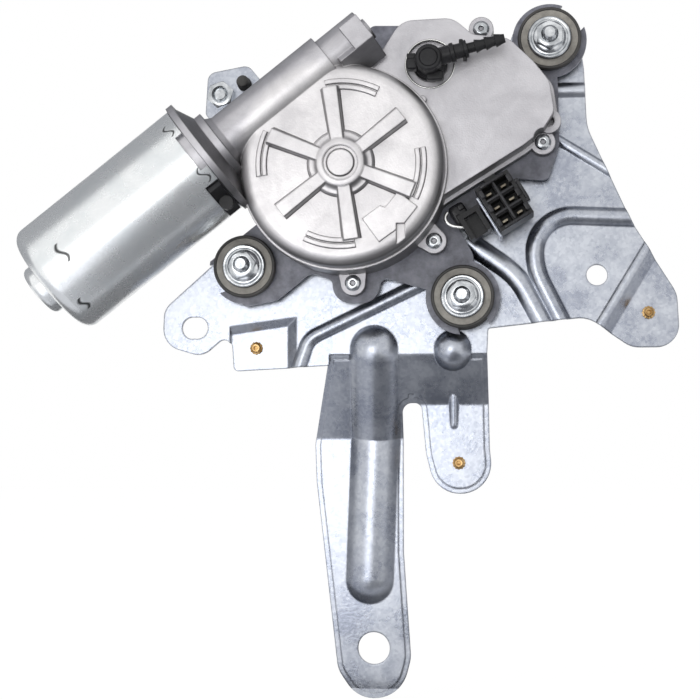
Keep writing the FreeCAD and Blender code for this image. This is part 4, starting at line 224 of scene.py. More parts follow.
def casting(name, cover_shade_stops):
    """Cast skin with painted shade on its steep walls. The last argument's stops dim it by the distance from
    the wheel's axis: painted shade on the flat cover beyond the dome.
    """
    material, tree, shader = new_finish(name, Metallic=0.85, Roughness=0.46)
    flow = object_pattern(tree, "ShaderNodeTexNoise", 60.0, Detail=9.0, Roughness=0.68, Distortion=0.5)
    colour = ramp(tree, flow.outputs["Fac"], [(0.34, (0.60, 0.585, 0.595)), (0.64, (0.76, 0.742, 0.748))])
    # Painted light and shade: faces and walls that turn up and to the left keep their colour, and walls
    # turned the other way are darkened to as little as a quarter.
    worn_normal, facing = facing_share(tree, 0.0007, PAINTED_LIGHT_WAY)
    shade = ramp(tree, facing, [(0.0, grey(0.60)), (0.25, grey(0.26)), (0.55, grey(0.44)), (0.90, grey(1.0))])
    lit = times(tree, colour.outputs["Color"], shade.outputs["Color"])
    where = tree.nodes.new("ShaderNodeTexCoord")
    flat = tree.nodes.new("ShaderNodeMapping")
    flat.inputs["Location"].default_value = (-WHEEL_AXIS[0] * MM, 0, -WHEEL_AXIS[1] * MM)
    flat.inputs["Scale"].default_value = (1, 0, 1)
    away = tree.nodes.new("ShaderNodeVectorMath")
    away.operation = "LENGTH"
    tree.links.new(where.outputs["Object"], flat.inputs["Vector"])
    tree.links.new(flat.outputs["Vector"], away.inputs[0])
    share = tree.nodes.new("ShaderNodeMath")
    share.operation = "MULTIPLY"
    share.inputs[1].default_value = 10.0
    tree.links.new(away.outputs["Value"], share.inputs[0])
    cover_shade = ramp(tree, share.outputs[0], cover_shade_stops)
    tree.links.new(times(tree, lit, cover_shade.outputs["Color"]), shader.inputs["Base Color"])
    dull = ramp(tree, flow.outputs["Fac"], [(0.3, grey(0.46)), (0.7, grey(0.36))])
    tree.links.new(dull.outputs["Color"], shader.inputs["Roughness"])
    grain = object_pattern(tree, "ShaderNodeTexNoise", 1500.0, Detail=4.0)
    bump(tree, shader, grain.outputs["Fac"], 0.4, 0.0002, worn_normal)
    return material


# The places of the cover's painted shade are tenths of a metre from the wheel's axis: the dome ends at 0.4.
WHEEL_AXIS = (-34.5, -41.2)
cast = casting("cast_aluminium", [(0.39, grey(1.0)), (0.43, (0.76, 0.765, 0.79))])

# %% [markdown]
# ## Drawn steel can
# The motor can is drawn from plated steel, paler and smoother than the casting. Tools have pressed two
# wavy stakes near its closed end, and cut two tongues at its mouth. Geometry would do for them as well,
# but a mark no deeper than 0.3 mm is cheaper as a line that a formula draws and a bump sinks. The formula
# works in a small frame laid on the can: x runs round it, y along it and z out of it, all in mm.

# %% Can steel
MOTOR_LINE = math.radians(38.1)
CAN_START, CAN_RADIUS = Vector((-57.82, -42.25, -11.45)), 24.0
CAN_WAY = Vector((math.cos(MOTOR_LINE), 0, math.sin(MOTOR_LINE)))
CAN_SIDE = Vector((CAN_WAY.z, 0, -CAN_WAY.x))


def calculate(tree, operation, *values):
    """A math node with links or plain numbers as its inputs."""
    node = tree.nodes.new("ShaderNodeMath")
    node.operation = operation
    for socket, value in zip(node.inputs, values):
        if isinstance(value, (int, float)):
            socket.default_value = value
        else:
            tree.links.new(value, socket)
    return node.outputs[0]


def pressed_line(tree, along, turn, half, wave, width):
    """1 on the line y = wave * sin(pi x / half) for |x| < half, and 0 from its width outwards.
    Along is the distance down the can's axis in mm, and turn the angle from its front in degrees."""
    angle = math.radians(turn)
    out = Vector((0, -1, 0)) * math.cos(angle) + CAN_SIDE * math.sin(angle)
    round_it = Vector((0, 1, 0)) * math.sin(angle) + CAN_SIDE * math.cos(angle)
    axes = Matrix((round_it, CAN_WAY, out)).transposed()
    where = tree.nodes.new("ShaderNodeTexCoord")
    local = tree.nodes.new("ShaderNodeMapping")
    local.vector_type = "TEXTURE"
    local.inputs["Location"].default_value = (CAN_START + CAN_WAY * along + out * CAN_RADIUS) * MM
    local.inputs["Rotation"].default_value = axes.to_euler()
    local.inputs["Scale"].default_value = (MM, MM, MM)
    parts = tree.nodes.new("ShaderNodeSeparateXYZ")
    tree.links.new(where.outputs["Object"], local.inputs["Vector"])
    tree.links.new(local.outputs["Vector"], parts.inputs["Vector"])
    x, y, z = parts.outputs
    bend = calculate(tree, "SINE", calculate(tree, "MULTIPLY", x, math.pi / half))
    off = calculate(tree, "ABSOLUTE", calculate(tree, "MULTIPLY_ADD", bend, -wave, y))
    line = calculate(tree, "SMOOTH_MIN", calculate(tree, "DIVIDE", off, width), 1.0, 0.2)
    near = calculate(tree, "MULTIPLY", calculate(tree, "LESS_THAN", calculate(tree, "ABSOLUTE", x), half),
                     calculate(tree, "GREATER_THAN", z, -CAN_RADIUS / 2))
    return calculate(tree, "MULTIPLY", calculate(tree, "SUBTRACT", 1.0, line), near)


can_steel, tree, shader = new_finish("can_steel", Metallic=0.9, Roughness=0.36)
cloud = object_pattern(tree, "ShaderNodeTexNoise", 90.0, Detail=7.0, Roughness=0.62)
colour = ramp(tree, cloud.outputs["Fac"], [(0.34, (0.76, 0.79, 0.80)), (0.6, (0.85, 0.865, 0.87))])
# Along the can, turn round it, half length, wave and width: two stakes, then two tongues
LINES = [(-106.5, -1, 4.4, 1.2, 1.2), (-113.0, 51, 3.4, 1.0, 1.2),
         (-45.0, -32, 3.6, 1.5, 0.7), (-44.5, 25, 3.6, 1.5, 0.7)]
LINE_DEPTH = 6.0
lines = 0.0
for numbers in LINES:
    lines = calculate(tree, "MAXIMUM", pressed_line(tree, *numbers), lines)
# Painted shade: the pressed stakes and the slits round the cut tongues are darkened to a tenth of the can's
# colour.
line_shade = ramp(tree, lines, [(0.1, grey(1.0)), (0.75, grey(0.10))])
tree.links.new(times(tree, colour.outputs["Color"], line_shade.outputs["Color"]), shader.inputs["Base Color"])
dull = ramp(tree, cloud.outputs["Fac"], [(0.35, grey(0.30)), (0.65, grey(0.25))])
tree.links.new(dull.outputs["Color"], shader.inputs["Roughness"])
fine = object_pattern(tree, "ShaderNodeTexNoise", 700.0, Detail=3.0)
height = calculate(tree, "MULTIPLY_ADD", lines, -LINE_DEPTH, fine.outputs["Fac"])
bump(tree, shader, height, 0.08, 0.0002)

# %% [markdown]
# ## Smaller metals
# Fasteners, copper, bronze and brass differ in colour and shine only, so one function makes them all.

# %% Small metals


def small_metal(name, dark, light, roughness, scale=120.0, grain_depth=0.0001):
    """A metal whose colour wanders between two tones, with a fine grain."""
    material, nodes, principled = new_finish(name, Metallic=1.0, Roughness=roughness)
    tone = object_pattern(nodes, "ShaderNodeTexNoise", scale, Detail=5.0)
    tones = ramp(nodes, tone.outputs["Fac"], [(0.35, dark), (0.68, light)])
    nodes.links.new(tones.outputs["Color"], principled.inputs["Base Color"])
    grains = object_pattern(nodes, "ShaderNodeTexNoise", 1600.0, Detail=2.0)
    bump(nodes, principled, grains.outputs["Fac"], 0.15, grain_depth)
    return material


bright = small_metal("bright_steel", (0.62, 0.62, 0.61), (0.84, 0.84, 0.82), 0.24)
core_steel = small_metal("core_steel", (0.24, 0.24, 0.26), (0.42, 0.42, 0.44), 0.42)
copper = small_metal("copper", (0.52, 0.24, 0.12), (0.80, 0.42, 0.24), 0.32)
bronze = small_metal("sintered_bronze", (0.40, 0.25, 0.12), (0.60, 0.40, 0.20), 0.5)
brass = small_metal("brass", (0.30, 0.17, 0.06), (0.78, 0.52, 0.24), 0.34, scale=420.0)
fastener = small_metal("fastener_zinc", (0.40, 0.42, 0.44), (0.80, 0.82, 0.84), 0.20, scale=260.0)
tin = small_metal("tinned_contact", (0.22, 0.19, 0.15), (0.42, 0.38, 0.30), 0.42)

# %% [markdown]
# ## Black plastic, rubber and the rest
# Moulded plastic is darker and glossier than rubber, which has a dusty, wide sheen.

# %% Plastics


def moulded(name, dark, light, roughness, scale=90.0, grain_depth=0.00015, **sockets):
    """A moulded material: two close tones and a fine moulding grain."""
    material, nodes, principled = new_finish(name, Roughness=roughness, **sockets)
    tone = object_pattern(nodes, "ShaderNodeTexNoise", scale, Detail=6.0, Roughness=0.65)
    tones = ramp(nodes, tone.outputs["Fac"], [(0.35, dark), (0.7, light)])
    nodes.links.new(tones.outputs["Color"], principled.inputs["Base Color"])
    grains = object_pattern(nodes, "ShaderNodeTexNoise", 1300.0, Detail=3.0)
    bump(nodes, principled, grains.outputs["Fac"], 0.3, grain_depth)
    return material


black = moulded("black_plastic", (0.008, 0.008, 0.009), (0.022, 0.022, 0.024), 0.34, Specular_IOR_Level=0.28)
glossy = moulded("glossy_plastic", (0.012, 0.012, 0.014), (0.034, 0.034, 0.038), 0.2, Specular_IOR_Level=0.3)
rubber = moulded("black_rubber", (0.030, 0.029, 0.028), (0.060, 0.057, 0.054), 0.55)
painted = moulded("painted_steel", (0.105, 0.108, 0.135), (0.250, 0.256, 0.300), 0.38, scale=160.0)
rubber_face = moulded("rubber_face", (0.185, 0.175, 0.158), (0.335, 0.318, 0.285), 0.5, scale=140.0)
nylon = moulded("white_nylon", (0.74, 0.73, 0.68), (0.84, 0.83, 0.78), 0.45)
ferrite = moulded("magnet", (0.05, 0.05, 0.055), (0.09, 0.09, 0.095), 0.6)
carbon = moulded("carbon", (0.03, 0.03, 0.03), (0.06, 0.06, 0.06), 0.7)

# %% [markdown]
# ## Dress every CAD node
# The record says which material slot each node belongs to, so the list is read from there.

# %% Assign finishes
FINISHES = {"zinc_sheet": zinc, "cast_aluminium": cast, "can_steel": can_steel, "bright_steel": bright,
            "core_steel": core_steel, "black_plastic": black, "black_rubber": rubber,
            "white_nylon": nylon, "sintered_bronze": bronze, "brass": brass, "copper": copper,
            "magnet": ferrite, "carbon": carbon}
SPECIAL = {"carrier_plate": painted, "wheel_axle": cast, "connector_terminals": tin}
for entry in frame["record"]["subparts"]:
    node = NODES[entry["node"]]
    finish = SPECIAL.get(entry["node"], FINISHES[entry["material_slot"]])
    for place in node.material_slots:
        place.material = finish
print("dressed", len(NODES), "nodes")

# %% [markdown]
# ## Surfaces worked out with numpy
# Every new piece is a grid of points: rows follow a profile and columns go round or along it. Modelling
# by hand or with modifiers would do as well, but a formula keeps each size in one place. The grids of a
# piece are joined, points that meet are merged, so that seams and poles close, and faces turn outwards.

# %% From grids to a piece
SHARP = math.radians(38)
MERGE_DISTANCE = 2e-6


def new_piece(name, grids, finishes):
    """One mesh from grids of points in mm, each an array of rows x columns x 3, with its finish's number.
    Every new piece belongs to the body that stands still, so it rides on the base."""
    points, faces, numbers, first = [], [], [], 0
    for grid, number in grids:
        rows, columns = grid.shape[:2]
        index = first + np.arange(rows * columns).reshape(rows, columns)
        quads = np.stack([index[:-1, :-1], index[1:, :-1], index[1:, 1:], index[:-1, 1:]], -1).reshape(-1, 4)
        points.append(grid.reshape(-1, 3) * MM)
        faces.append(quads)
        numbers.append(np.full(len(quads), number))
        first += rows * columns
    mesh = bpy.data.meshes.new(name)
    mesh.from_pydata(np.concatenate(points).tolist(), [], np.concatenate(faces).tolist())
    mesh.polygons.foreach_set("material_index", np.concatenate(numbers))
    for finish in finishes:
        mesh.materials.append(finish)
    work = bmesh.new()
    work.from_mesh(mesh)
    bmesh.ops.remove_doubles(work, verts=work.verts, dist=MERGE_DISTANCE)
    bmesh.ops.recalc_face_normals(work, faces=work.faces)
    work.to_mesh(mesh)
    work.free()
    mesh.polygons.foreach_set("use_smooth", np.ones(len(mesh.polygons), bool))
    mesh.set_sharp_from_angle(angle=SHARP)
    piece = bpy.data.objects.new(name, mesh)
    scene.collection.objects.link(piece)
    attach(piece, "base")
    print(name, len(mesh.polygons), "faces")
    return piece


def turned(profile, centre, steps=72, lobes=None):
    """(radius, depth) pairs carried round a line along Y: x = cx + r cos a, y = depth, z = cz + r sin a.
    Where lobes is given, it returns each row's share of the radius at an angle."""
    angle = np.linspace(0, 2 * np.pi, steps + 1)
    radius, depth = np.array(profile, float).T
    reach = radius[:, None] * np.ones_like(angle)
    if lobes is not None:
        reach = reach * lobes(angle)
    return np.stack([centre[0] + reach * np.cos(angle), depth[:, None] * np.ones_like(angle),
                     centre[1] + reach * np.sin(angle)], -1)


def swept(middle, across, profile, front):
    """A closed section carried along a path: point = middle + across * c, at the depth front - h.
    The profile gives (c, h) pairs, and each end is drawn in to its middle."""
    sideways, height = np.array(profile, float).T
    grid = np.empty((len(middle), len(sideways), 3))
    grid[..., 0] = middle[:, :1] + across[:, :1] * sideways
    grid[..., 2] = middle[:, 1:] + across[:, 1:] * sideways
    grid[..., 1] = front - height
    ends = [np.broadcast_to(grid[row].mean(axis=0), grid[row].shape)[None] for row in (0, -1)]
    return np.concatenate([ends[0], grid, ends[1]])


def crowned(flat, foot, height, steps=7):
    """A ridge's section: level out to flat, then down to foot along half a cosine, closed 0.15 mm below."""
    share = np.linspace(0, 1, steps)
    side = flat + (foot - flat) * share
    drop = height * (1 + np.cos(np.pi * share)) / 2
    across = np.concatenate([-side[::-1], side, [foot, -foot, -foot]])
    up = np.concatenate([drop[::-1], drop, [-0.15, -0.15, 0.0]])
    return list(zip(across, up))


# %% [markdown]
# ## Draft on the ribs and the hub
# A die-cast rib leans inwards on both sides, or it wouldn't leave its die. The CAD ribs are upright, so
# thin skins over them give the leaning flanks. Rounding the CAD edges with a Bevel modifier would be
# shorter, but it can't widen a foot. A skin is one section carried along each rib.

# %% Levels
# Depths along Y in mm. The sheet, the lobes and the tab are levels of the bracket, and the case stands on
# the carrier. The motor's side is the negative one.
SHEET_FRONT, SHEET_BACK, LOBE_FRONT, TAB_FRONT = -18.0, -16.0, -15.0, -8.5
CASE_BACK = -25.25
CASE_FRONT, DOME_FRONT, HUB_FRONT = CASE_BACK - 16.0, CASE_BACK - 26.5, CASE_BACK - 29.5
EAR_FRONT = CASE_BACK - 5.5
print("dome", DOME_FRONT, "mm, hub", HUB_FRONT, "mm, cup", CASE_FRONT, "mm")

# %% Rib, arc and hub skins
RIB_START, RIB_END, RIB_HEIGHT = 8.6, 30.4, 2.68
RIB_TOP, RIB_FOOT, RIB_SPREAD = 2.22, 3.35, 0.2
ARC_RADII, ARC_TOP, ARC_FOOT, ARC_HEIGHT = (30.35, 32.75), 0.72, 1.12, 0.78
ARCS = ((82, 36), (-8, 34), (-98, 34), (172, 30))
ARC_OVERLAP = 1.2


def from_wheel_axis(radius, angle):
    """Points at a radius and angle from the wheel's axis, as x and z."""
    return np.stack([WHEEL_AXIS[0] + radius * np.cos(angle), WHEEL_AXIS[1] + radius * np.sin(angle)], -1)


skins = []
for number in range(6):
    turn = np.full(16, MOTOR_LINE + number * np.pi / 3)
    radius = np.linspace(RIB_START, RIB_END, 16)
    spread = 1 + RIB_SPREAD * ((radius - RIB_START) / (RIB_END - RIB_START))[:, None]
    section = crowned(RIB_TOP, RIB_FOOT, RIB_HEIGHT)
    across = np.stack([-np.sin(turn), np.cos(turn)], -1) * spread
    skins.append((swept(from_wheel_axis(radius, turn), across, section, DOME_FRONT), 0))
for middle_angle, sweep in ARCS:
    reach = sweep / 2 + ARC_OVERLAP
    turn = np.radians(np.linspace(middle_angle - reach, middle_angle + reach, 28))
    outwards = np.stack([np.cos(turn), np.sin(turn)], -1)
    section = crowned(ARC_TOP, ARC_FOOT, ARC_HEIGHT)
    for radius in ARC_RADII:
        skins.append((swept(from_wheel_axis(radius, turn), outwards, section, DOME_FRONT), 0))
skins.append((turned([(13.6, DOME_FRONT + 0.2), (13.5, DOME_FRONT - 0.02), (12.9, DOME_FRONT - 0.5),
                      (12.3, DOME_FRONT - 1.08), (11.2, DOME_FRONT - 1.12), (10.4, DOME_FRONT - 1.5),
                      (9.75, DOME_FRONT - 2.35), (9.45, DOME_FRONT - 2.8), (8.95, HUB_FRONT - 0.1),
                      (7.2, HUB_FRONT - 0.1), (6.9, HUB_FRONT + 0.15), (6.85, HUB_FRONT + 1.0),
                      (13.6, DOME_FRONT + 0.2)], WHEEL_AXIS, 96), 0))
new_piece("housing_skins", skins, [cast])

# %% [markdown]
# ## Studs, washers and nuts
# Each rubber mount is held by a stud with a rolled thread, a turned washer and a chamfered hexagon nut.
# The thread is a surface too: the radius rises and falls once per pitch of 1 mm, and the wave moves on by
# one pitch for each turn round the stud, so that its seam closes by itself.

# %% Fasteners on the mounts
STUDS = [(47.5, 12.5), (-76.6, -78.5), (12.0, -91.7)]
WASHER_FRONT, WASHER_BACK, NUT_FRONT, STUD_END, STUD_HEAD = -30.5, -29.02, -35.7, -38.7, -14.4
PITCH, NUT_FLATS, NUT_BORE = 1.0, 10.0, 3.02
THREAD_MIDDLE, THREAD_WAVE = 2.72, 0.26


def hexagon(angle, flats):
    """From a hexagon's centre to its edge: half its flats over the cosine of the nearest flat's angle."""
    return flats / 2 / np.cos((angle + np.pi / 6) % (np.pi / 3) - np.pi / 6)


def threaded_end(centre, start, end):
    """r = middle + w, where w is a triangle wave of (depth / pitch - angle / turn), and a chamfered tip."""
    angle = np.linspace(0, 2 * np.pi, 49)
    depth = np.linspace(start, end, 41)[:, None]
    wave = np.abs(((depth / PITCH - angle / (2 * np.pi)) % 1.0) * 4 - 2) - 1
    reach = np.minimum(THREAD_MIDDLE + THREAD_WAVE * wave, 2.1 + (depth - end) * 1.2)
    reach = np.concatenate([reach, np.zeros((1, 49))])
    depth = np.concatenate([depth, [[end]]]) * np.ones_like(angle)
    return np.stack([centre[0] + reach * np.cos(angle), depth, centre[1] + reach * np.sin(angle)], -1)


def nut_surface(centre, back, front, turn):
    """A hexagon whose front corners are cut by a 30 degree cone, and a bored middle."""
    flats, bore = NUT_FLATS, NUT_BORE
    angle = np.linspace(0, 2 * np.pi, 97)
    edge = hexagon(angle + turn, flats)
    seat = flats / 2 * 0.93
    low = np.maximum(edge - seat, 0) * math.tan(math.radians(30))
    rows = [(np.full(97, bore), back), (edge, np.full(97, back)), (edge, front + low),
            (np.full(97, seat), np.full(97, front)), (np.full(97, bore + 0.45), np.full(97, front)),
            (np.full(97, bore), np.full(97, front + 0.45)), (np.full(97, bore), back)]
    radius = np.array([row[0] for row in rows])
    depth = np.array([row[1] * np.ones(97) for row in rows])
    return np.stack([centre[0] + radius * np.cos(angle), depth, centre[1] + radius * np.sin(angle)], -1)


studs, washers, nuts = [], [], []
for number, centre in enumerate(STUDS):
    studs.append((turned([(0, STUD_HEAD), (6.1, STUD_HEAD), (6.5, STUD_HEAD - 0.4), (6.5, SHEET_BACK + 0.02),
                          (3.0, SHEET_BACK + 0.02), (3.0, NUT_FRONT + 1.6), (2.6, NUT_FRONT + 1.4),
                          (0, NUT_FRONT + 1.4)], centre), 0))
    studs.append((threaded_end(centre, NUT_FRONT + 1.5, STUD_END), 0))
    washers.append((turned([(3.2, WASHER_BACK), (8.3, WASHER_BACK), (8.6, WASHER_BACK - 0.3),
                            (8.6, WASHER_FRONT + 0.4), (8.2, WASHER_FRONT + 0.02), (7.4, WASHER_FRONT),
                            (7.2, WASHER_FRONT + 0.14), (6.9, WASHER_FRONT + 0.02), (5.4, WASHER_FRONT + 0.1),
                            (3.2, WASHER_FRONT + 0.1), (3.2, WASHER_BACK)], centre, 96), 0))
    nuts.append((nut_surface(centre, WASHER_FRONT + 0.12, NUT_FRONT, 0.35 * number), 0))
    nuts.append((turned([(3.3, WASHER_FRONT + 0.08), (6.4, WASHER_FRONT + 0.08), (6.6, WASHER_FRONT - 0.2),
                         (6.2, WASHER_FRONT - 0.6), (5.2, WASHER_FRONT - 1.1), (3.3, WASHER_FRONT - 1.1),
                         (3.3, WASHER_FRONT + 0.08)], centre, 96), 0))
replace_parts(new_piece("threaded_studs", studs, [fastener]), "bracket_studs")
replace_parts(new_piece("turned_washers", washers, [fastener]), "mount_washers")
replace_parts(new_piece("chamfered_nuts", nuts, [fastener]), "mount_nuts")

lug = (-88.0, -6.0)
lug_grids = [(nut_surface(lug, SHEET_FRONT - 0.03, SHEET_FRONT - 5.2, 0.2), 0),
             (threaded_end(lug, SHEET_FRONT - 0.1, SHEET_FRONT - 5.0), 0)]
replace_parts(new_piece("lug_fastener", lug_grids, [fastener]), "lug_nut")

# %% [markdown]
# ## Rubber mounts
# A grommet is a soft spool: a waist that sits in the carrier's arm between two thick lips. Its face has a
# raised outer lip and a paler ring. Two materials on one turned profile give both.

# %% Grommets
GROMMET_BACK, GROMMET_FRONT, WAIST = SHEET_FRONT - 0.02, -29.0, -23.5
spools = []
for centre in STUDS:
    spools.append((turned([(11.4, GROMMET_FRONT + 0.32), (11.7, GROMMET_FRONT + 0.02),
                           (12.3, GROMMET_FRONT + 0.05), (12.7, GROMMET_FRONT + 0.5),
                           (12.8, GROMMET_FRONT + 1.2), (12.6, WAIST - 1.9), (12.2, WAIST - 1.4),
                           (9.0, WAIST - 1.3), (8.78, WAIST - 1.1), (8.78, WAIST + 1.1),
                           (9.0, WAIST + 1.3), (12.2, WAIST + 1.4), (12.6, WAIST + 1.9),
                           (12.8, GROMMET_BACK - 1.2), (12.4, GROMMET_BACK - 0.3), (11.6, GROMMET_BACK),
                           (4.65, GROMMET_BACK), (4.65, GROMMET_FRONT + 0.4), (5.0, GROMMET_FRONT + 0.05),
                           (8.9, GROMMET_FRONT + 0.04)], centre, 96), 0))
    spools.append((turned([(8.9, GROMMET_FRONT + 0.04), (9.15, GROMMET_FRONT + 0.28),
                           (10.3, GROMMET_FRONT + 0.2), (11.4, GROMMET_FRONT + 0.32)], centre, 96), 1))
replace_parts(new_piece("grommet_spools", spools, [rubber, rubber_face]), "rubber_grommets")
lug_foot = (-78.5, -1.0)
buffer = turned([(0, GROMMET_BACK), (2.7, GROMMET_BACK), (2.9, SHEET_FRONT - 0.3), (2.9, SHEET_FRONT - 1.6),
                 (2.6, SHEET_FRONT - 2.0), (2.6, SHEET_FRONT - 5.6), (2.2, SHEET_FRONT - 6.6),
                 (1.4, SHEET_FRONT - 7.0), (0, SHEET_FRONT - 7.0)], lug_foot)
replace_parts(new_piece("stop_buffer", [(buffer, 0)], [rubber]), "lug_buffer")

# %% [markdown]
# ## Case screws and pins
# Small thread-forming screws with a six-lobed socket close the case. The socket is the same turned
# surface, with its radius pulled in and out six times a turn. The brass pins have a knurled collar.

# %% Screws and pins
EARS = [(20.1, 16.3), (44.5, -30.3), (0.8, -69.5), (-31.9, -86.1)]
SCREW_HEAD, SCREW_TIP = 1.55, -20.76
PINS = [((86.5, -97.7), LOBE_FRONT), ((9.5, -158.3), TAB_FRONT), ((-73.6, -111.0), LOBE_FRONT)]


def six_lobes(angle):
    """The socket's radius dips six times round."""
    return 1 + 0.14 * (np.cos(6 * angle) - 1)


def knurl(angle):
    """Twelve shallow grooves round the pin's collar."""
    return 1 + 0.05 * (np.cos(12 * angle) - 1)


screws, pins = [], []
for centre in EARS:
    top = EAR_FRONT - SCREW_HEAD
    screws.append((turned([(1.15, top + 0.05), (1.35, top), (2.15, top), (2.6, top + 0.3), (2.7, top + 0.7),
                           (3.3, EAR_FRONT - 0.35), (3.3, EAR_FRONT - 0.02), (1.9, EAR_FRONT - 0.02),
                           (1.9, SCREW_TIP - 0.44), (1.4, SCREW_TIP), (0, SCREW_TIP)], centre), 0))
    # The socket's floor takes the darker core steel: painted shade in the recess.
    screws.append((turned([(0, top + 1.0), (1.0, top + 1.0), (1.15, top + 0.05)], centre,
                          lobes=six_lobes), 1))
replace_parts(new_piece("socket_screws", screws, [fastener, core_steel]), "case_screws")
for centre, face in PINS:
    pins.append((turned([(0.0, face - 1.5), (0.7, face - 1.5), (0.95, face - 2.4), (1.6, face - 2.4),
                         (1.8, face - 2.1), (1.85, face - 1.1), (2.1, face - 0.9), (2.6, face - 0.8),
                         (2.75, face - 0.5), (2.75, face - 0.02), (1.88, face - 0.02), (1.88, face + 5.6),
                         (1.2, face + 6.95), (0, face + 6.95)], centre, 72, knurl), 0))
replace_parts(new_piece("knurled_pins", pins, [brass]), "locating_pins")

# %% [markdown]
# ## Washer elbow
# The water fitting snaps into the round cup over the spindle. Its head is a turned cap, and its nozzle
# is a second profile carried along its own slanting line, with a collar and three barbs for the hose.
# The latch and the foot are rounded blocks: a sphere's formula with its cosines and sines flattened.

# %% Elbow
NOZZLE_LEVEL = CASE_FRONT - 7.4
NOZZLE_TURN = math.radians(14)
NOZZLE_WAY = np.array([math.cos(NOZZLE_TURN), -0.04, math.sin(NOZZLE_TURN)])
NOZZLE_WAY /= np.linalg.norm(NOZZLE_WAY)


def along_line(profile, start, way, steps=48):
    """(place s, radius r) pairs carried round a slanting line: start + way s + r (side cos a + up sin a)."""
    side = np.cross(way, (0, 1, 0))
    side /= np.linalg.norm(side)
    up = np.cross(way, side)
    angle = np.linspace(0, 2 * np.pi, steps + 1)[:, None]
    place, radius = np.array(profile, float).T
    ring = side * np.cos(angle) + up * np.sin(angle)
    return np.array(start) + way * place[:, None, None] + ring * radius[:, None, None]


def rounded_block(middle, half, flatness=0.35, steps=24):
    """x = a c(u) c(v), y = b c(u) s(v), z = d s(u), where c and s are the cosine and sine raised to the
    flatness with their sign kept."""
    u = np.linspace(-np.pi / 2, np.pi / 2, steps + 1)[:, None]
    v = np.linspace(-np.pi, np.pi, 2 * steps + 1)

    def flattened(wave):
        return np.sign(wave) * np.abs(wave) ** flatness
    return np.stack([middle[0] + half[0] * flattened(np.cos(u)) * flattened(np.cos(v)),
                     middle[1] + half[1] * flattened(np.cos(u)) * flattened(np.sin(v)),
                     middle[2] + half[2] * flattened(np.sin(u)) * np.ones_like(v)], -1)


head = turned([(0, CASE_FRONT - 11.9), (3.3, CASE_FRONT - 11.9), (3.5, CASE_FRONT - 11.7),
               (3.8, CASE_FRONT - 12.0), (4.6, CASE_FRONT - 12.0), (5.2, CASE_FRONT - 11.5),
               (5.35, CASE_FRONT - 10.8), (5.45, CASE_FRONT - 3.2), (6.2, CASE_FRONT - 2.6),
               (6.3, CASE_FRONT - 1.9), (6.0, CASE_FRONT - 1.4), (7.0, CASE_FRONT - 0.6),
               (7.0, CASE_FRONT + 1.9), (1.4, CASE_FRONT + 1.95), (1.4, CASE_FRONT + 6.5),
               (0, CASE_FRONT + 6.5)], (0, 0))
nozzle = along_line([(0, 0), (0, 3.5), (8.6, 3.5), (9.0, 3.95), (10.3, 3.95), (10.6, 3.1), (14.2, 2.9),
                     (14.4, 3.6), (15.6, 3.6), (15.8, 2.1), (18.6, 2.0), (18.8, 2.75), (21.4, 2.0),
                     (22.6, 2.0), (22.8, 2.75), (25.4, 2.0), (26.6, 2.0), (26.8, 2.7), (29.6, 1.9),
                     (30.7, 1.7), (30.7, 1.0), (26, 1.0), (26, 0)], (0, NOZZLE_LEVEL, 0), NOZZLE_WAY)
elbow_grids = [head, nozzle,
               rounded_block((-6.6, CASE_FRONT - 4.6, -1.2), (2.3, 3.2, 2.4)),
               rounded_block((-6.9, CASE_FRONT - 6.2, 1.6), (1.9, 1.8, 1.1)),
               rounded_block((2.2, CASE_FRONT - 3.4, -5.6), (3.4, 1.9, 1.9)),
               rounded_block((12.6, NOZZLE_LEVEL - 0.2, 6.6), (0.8, 1.2, 1.0)),
               rounded_block((14.2, NOZZLE_LEVEL - 0.2, -0.2), (0.8, 1.2, 1.0))]
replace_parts(new_piece("barbed_elbow", [(grid, 0) for grid in elbow_grids], [black]),
            "washer_elbow")
ring = [(9.75 + 0.42 * math.cos(turn), CASE_FRONT - 0.05 - 0.42 * math.sin(turn))
        for turn in np.linspace(0, 2 * np.pi, 17)]
new_piece("cup_rim", [(turned(ring, (0, 0), 96), 0)], [bright])

# %% [markdown]
# ## Moulded details of the connector
# The socket's shroud has guide rails, keys between its chambers and a latch bridge. Each is a rounded
# block from the formula above, turned into the socket's own slanting frame, in glossy plastic.

# %% Connector details
SOCKET, SOCKET_TURN, SOCKET_FRONT = (29.0, -55.0), math.radians(31.4), -39.77


def in_socket(grid):
    """Turn a block made round (0, y, 0) by the socket's angle in XZ and move it to the socket."""
    c, s = math.cos(SOCKET_TURN), math.sin(SOCKET_TURN)
    x, y, z = np.moveaxis(grid, -1, 0)
    return np.stack([SOCKET[0] + c * x - s * z, y, SOCKET[1] + s * x + c * z], -1)


blocks = []
for side in (-1, 1):
    for place in (-6.6, 0.0, 6.6):
        blocks.append(rounded_block((side * 6.3, SOCKET_FRONT - 0.2, place), (0.9, 1.1, 1.7)))
    blocks.append(rounded_block((0, SOCKET_FRONT - 0.1, side * 9.3), (5.6, 0.8, 0.55)))
    blocks.append(rounded_block((0.0, SOCKET_FRONT + 0.25, side * 3.1), (6.2, 0.7, 0.5)))
    blocks.append(rounded_block((8.2, SOCKET_FRONT + 3.2, side * 4.4), (0.9, 3.2, 0.8)))
blocks.append(rounded_block((8.5, SOCKET_FRONT + 1.2, 0.0), (0.7, 1.1, 4.6)))
blocks.append(rounded_block((0.0, SOCKET_FRONT + 0.15, 0.0), (0.55, 0.75, 8.6)))
blocks.append(rounded_block((-17.2, -28.2, 6.0), (3.4, 3.9, 4.4)))
blocks.append(rounded_block((-15.6, -32.0, 8.0), (1.2, 1.1, 1.2)))
blocks.append(rounded_block((-18.4, -32.0, 4.2), (0.9, 1.2, 1.9)))
blocks.append(rounded_block((-15.4, -32.0, 3.6), (1.1, 0.9, 0.8)))
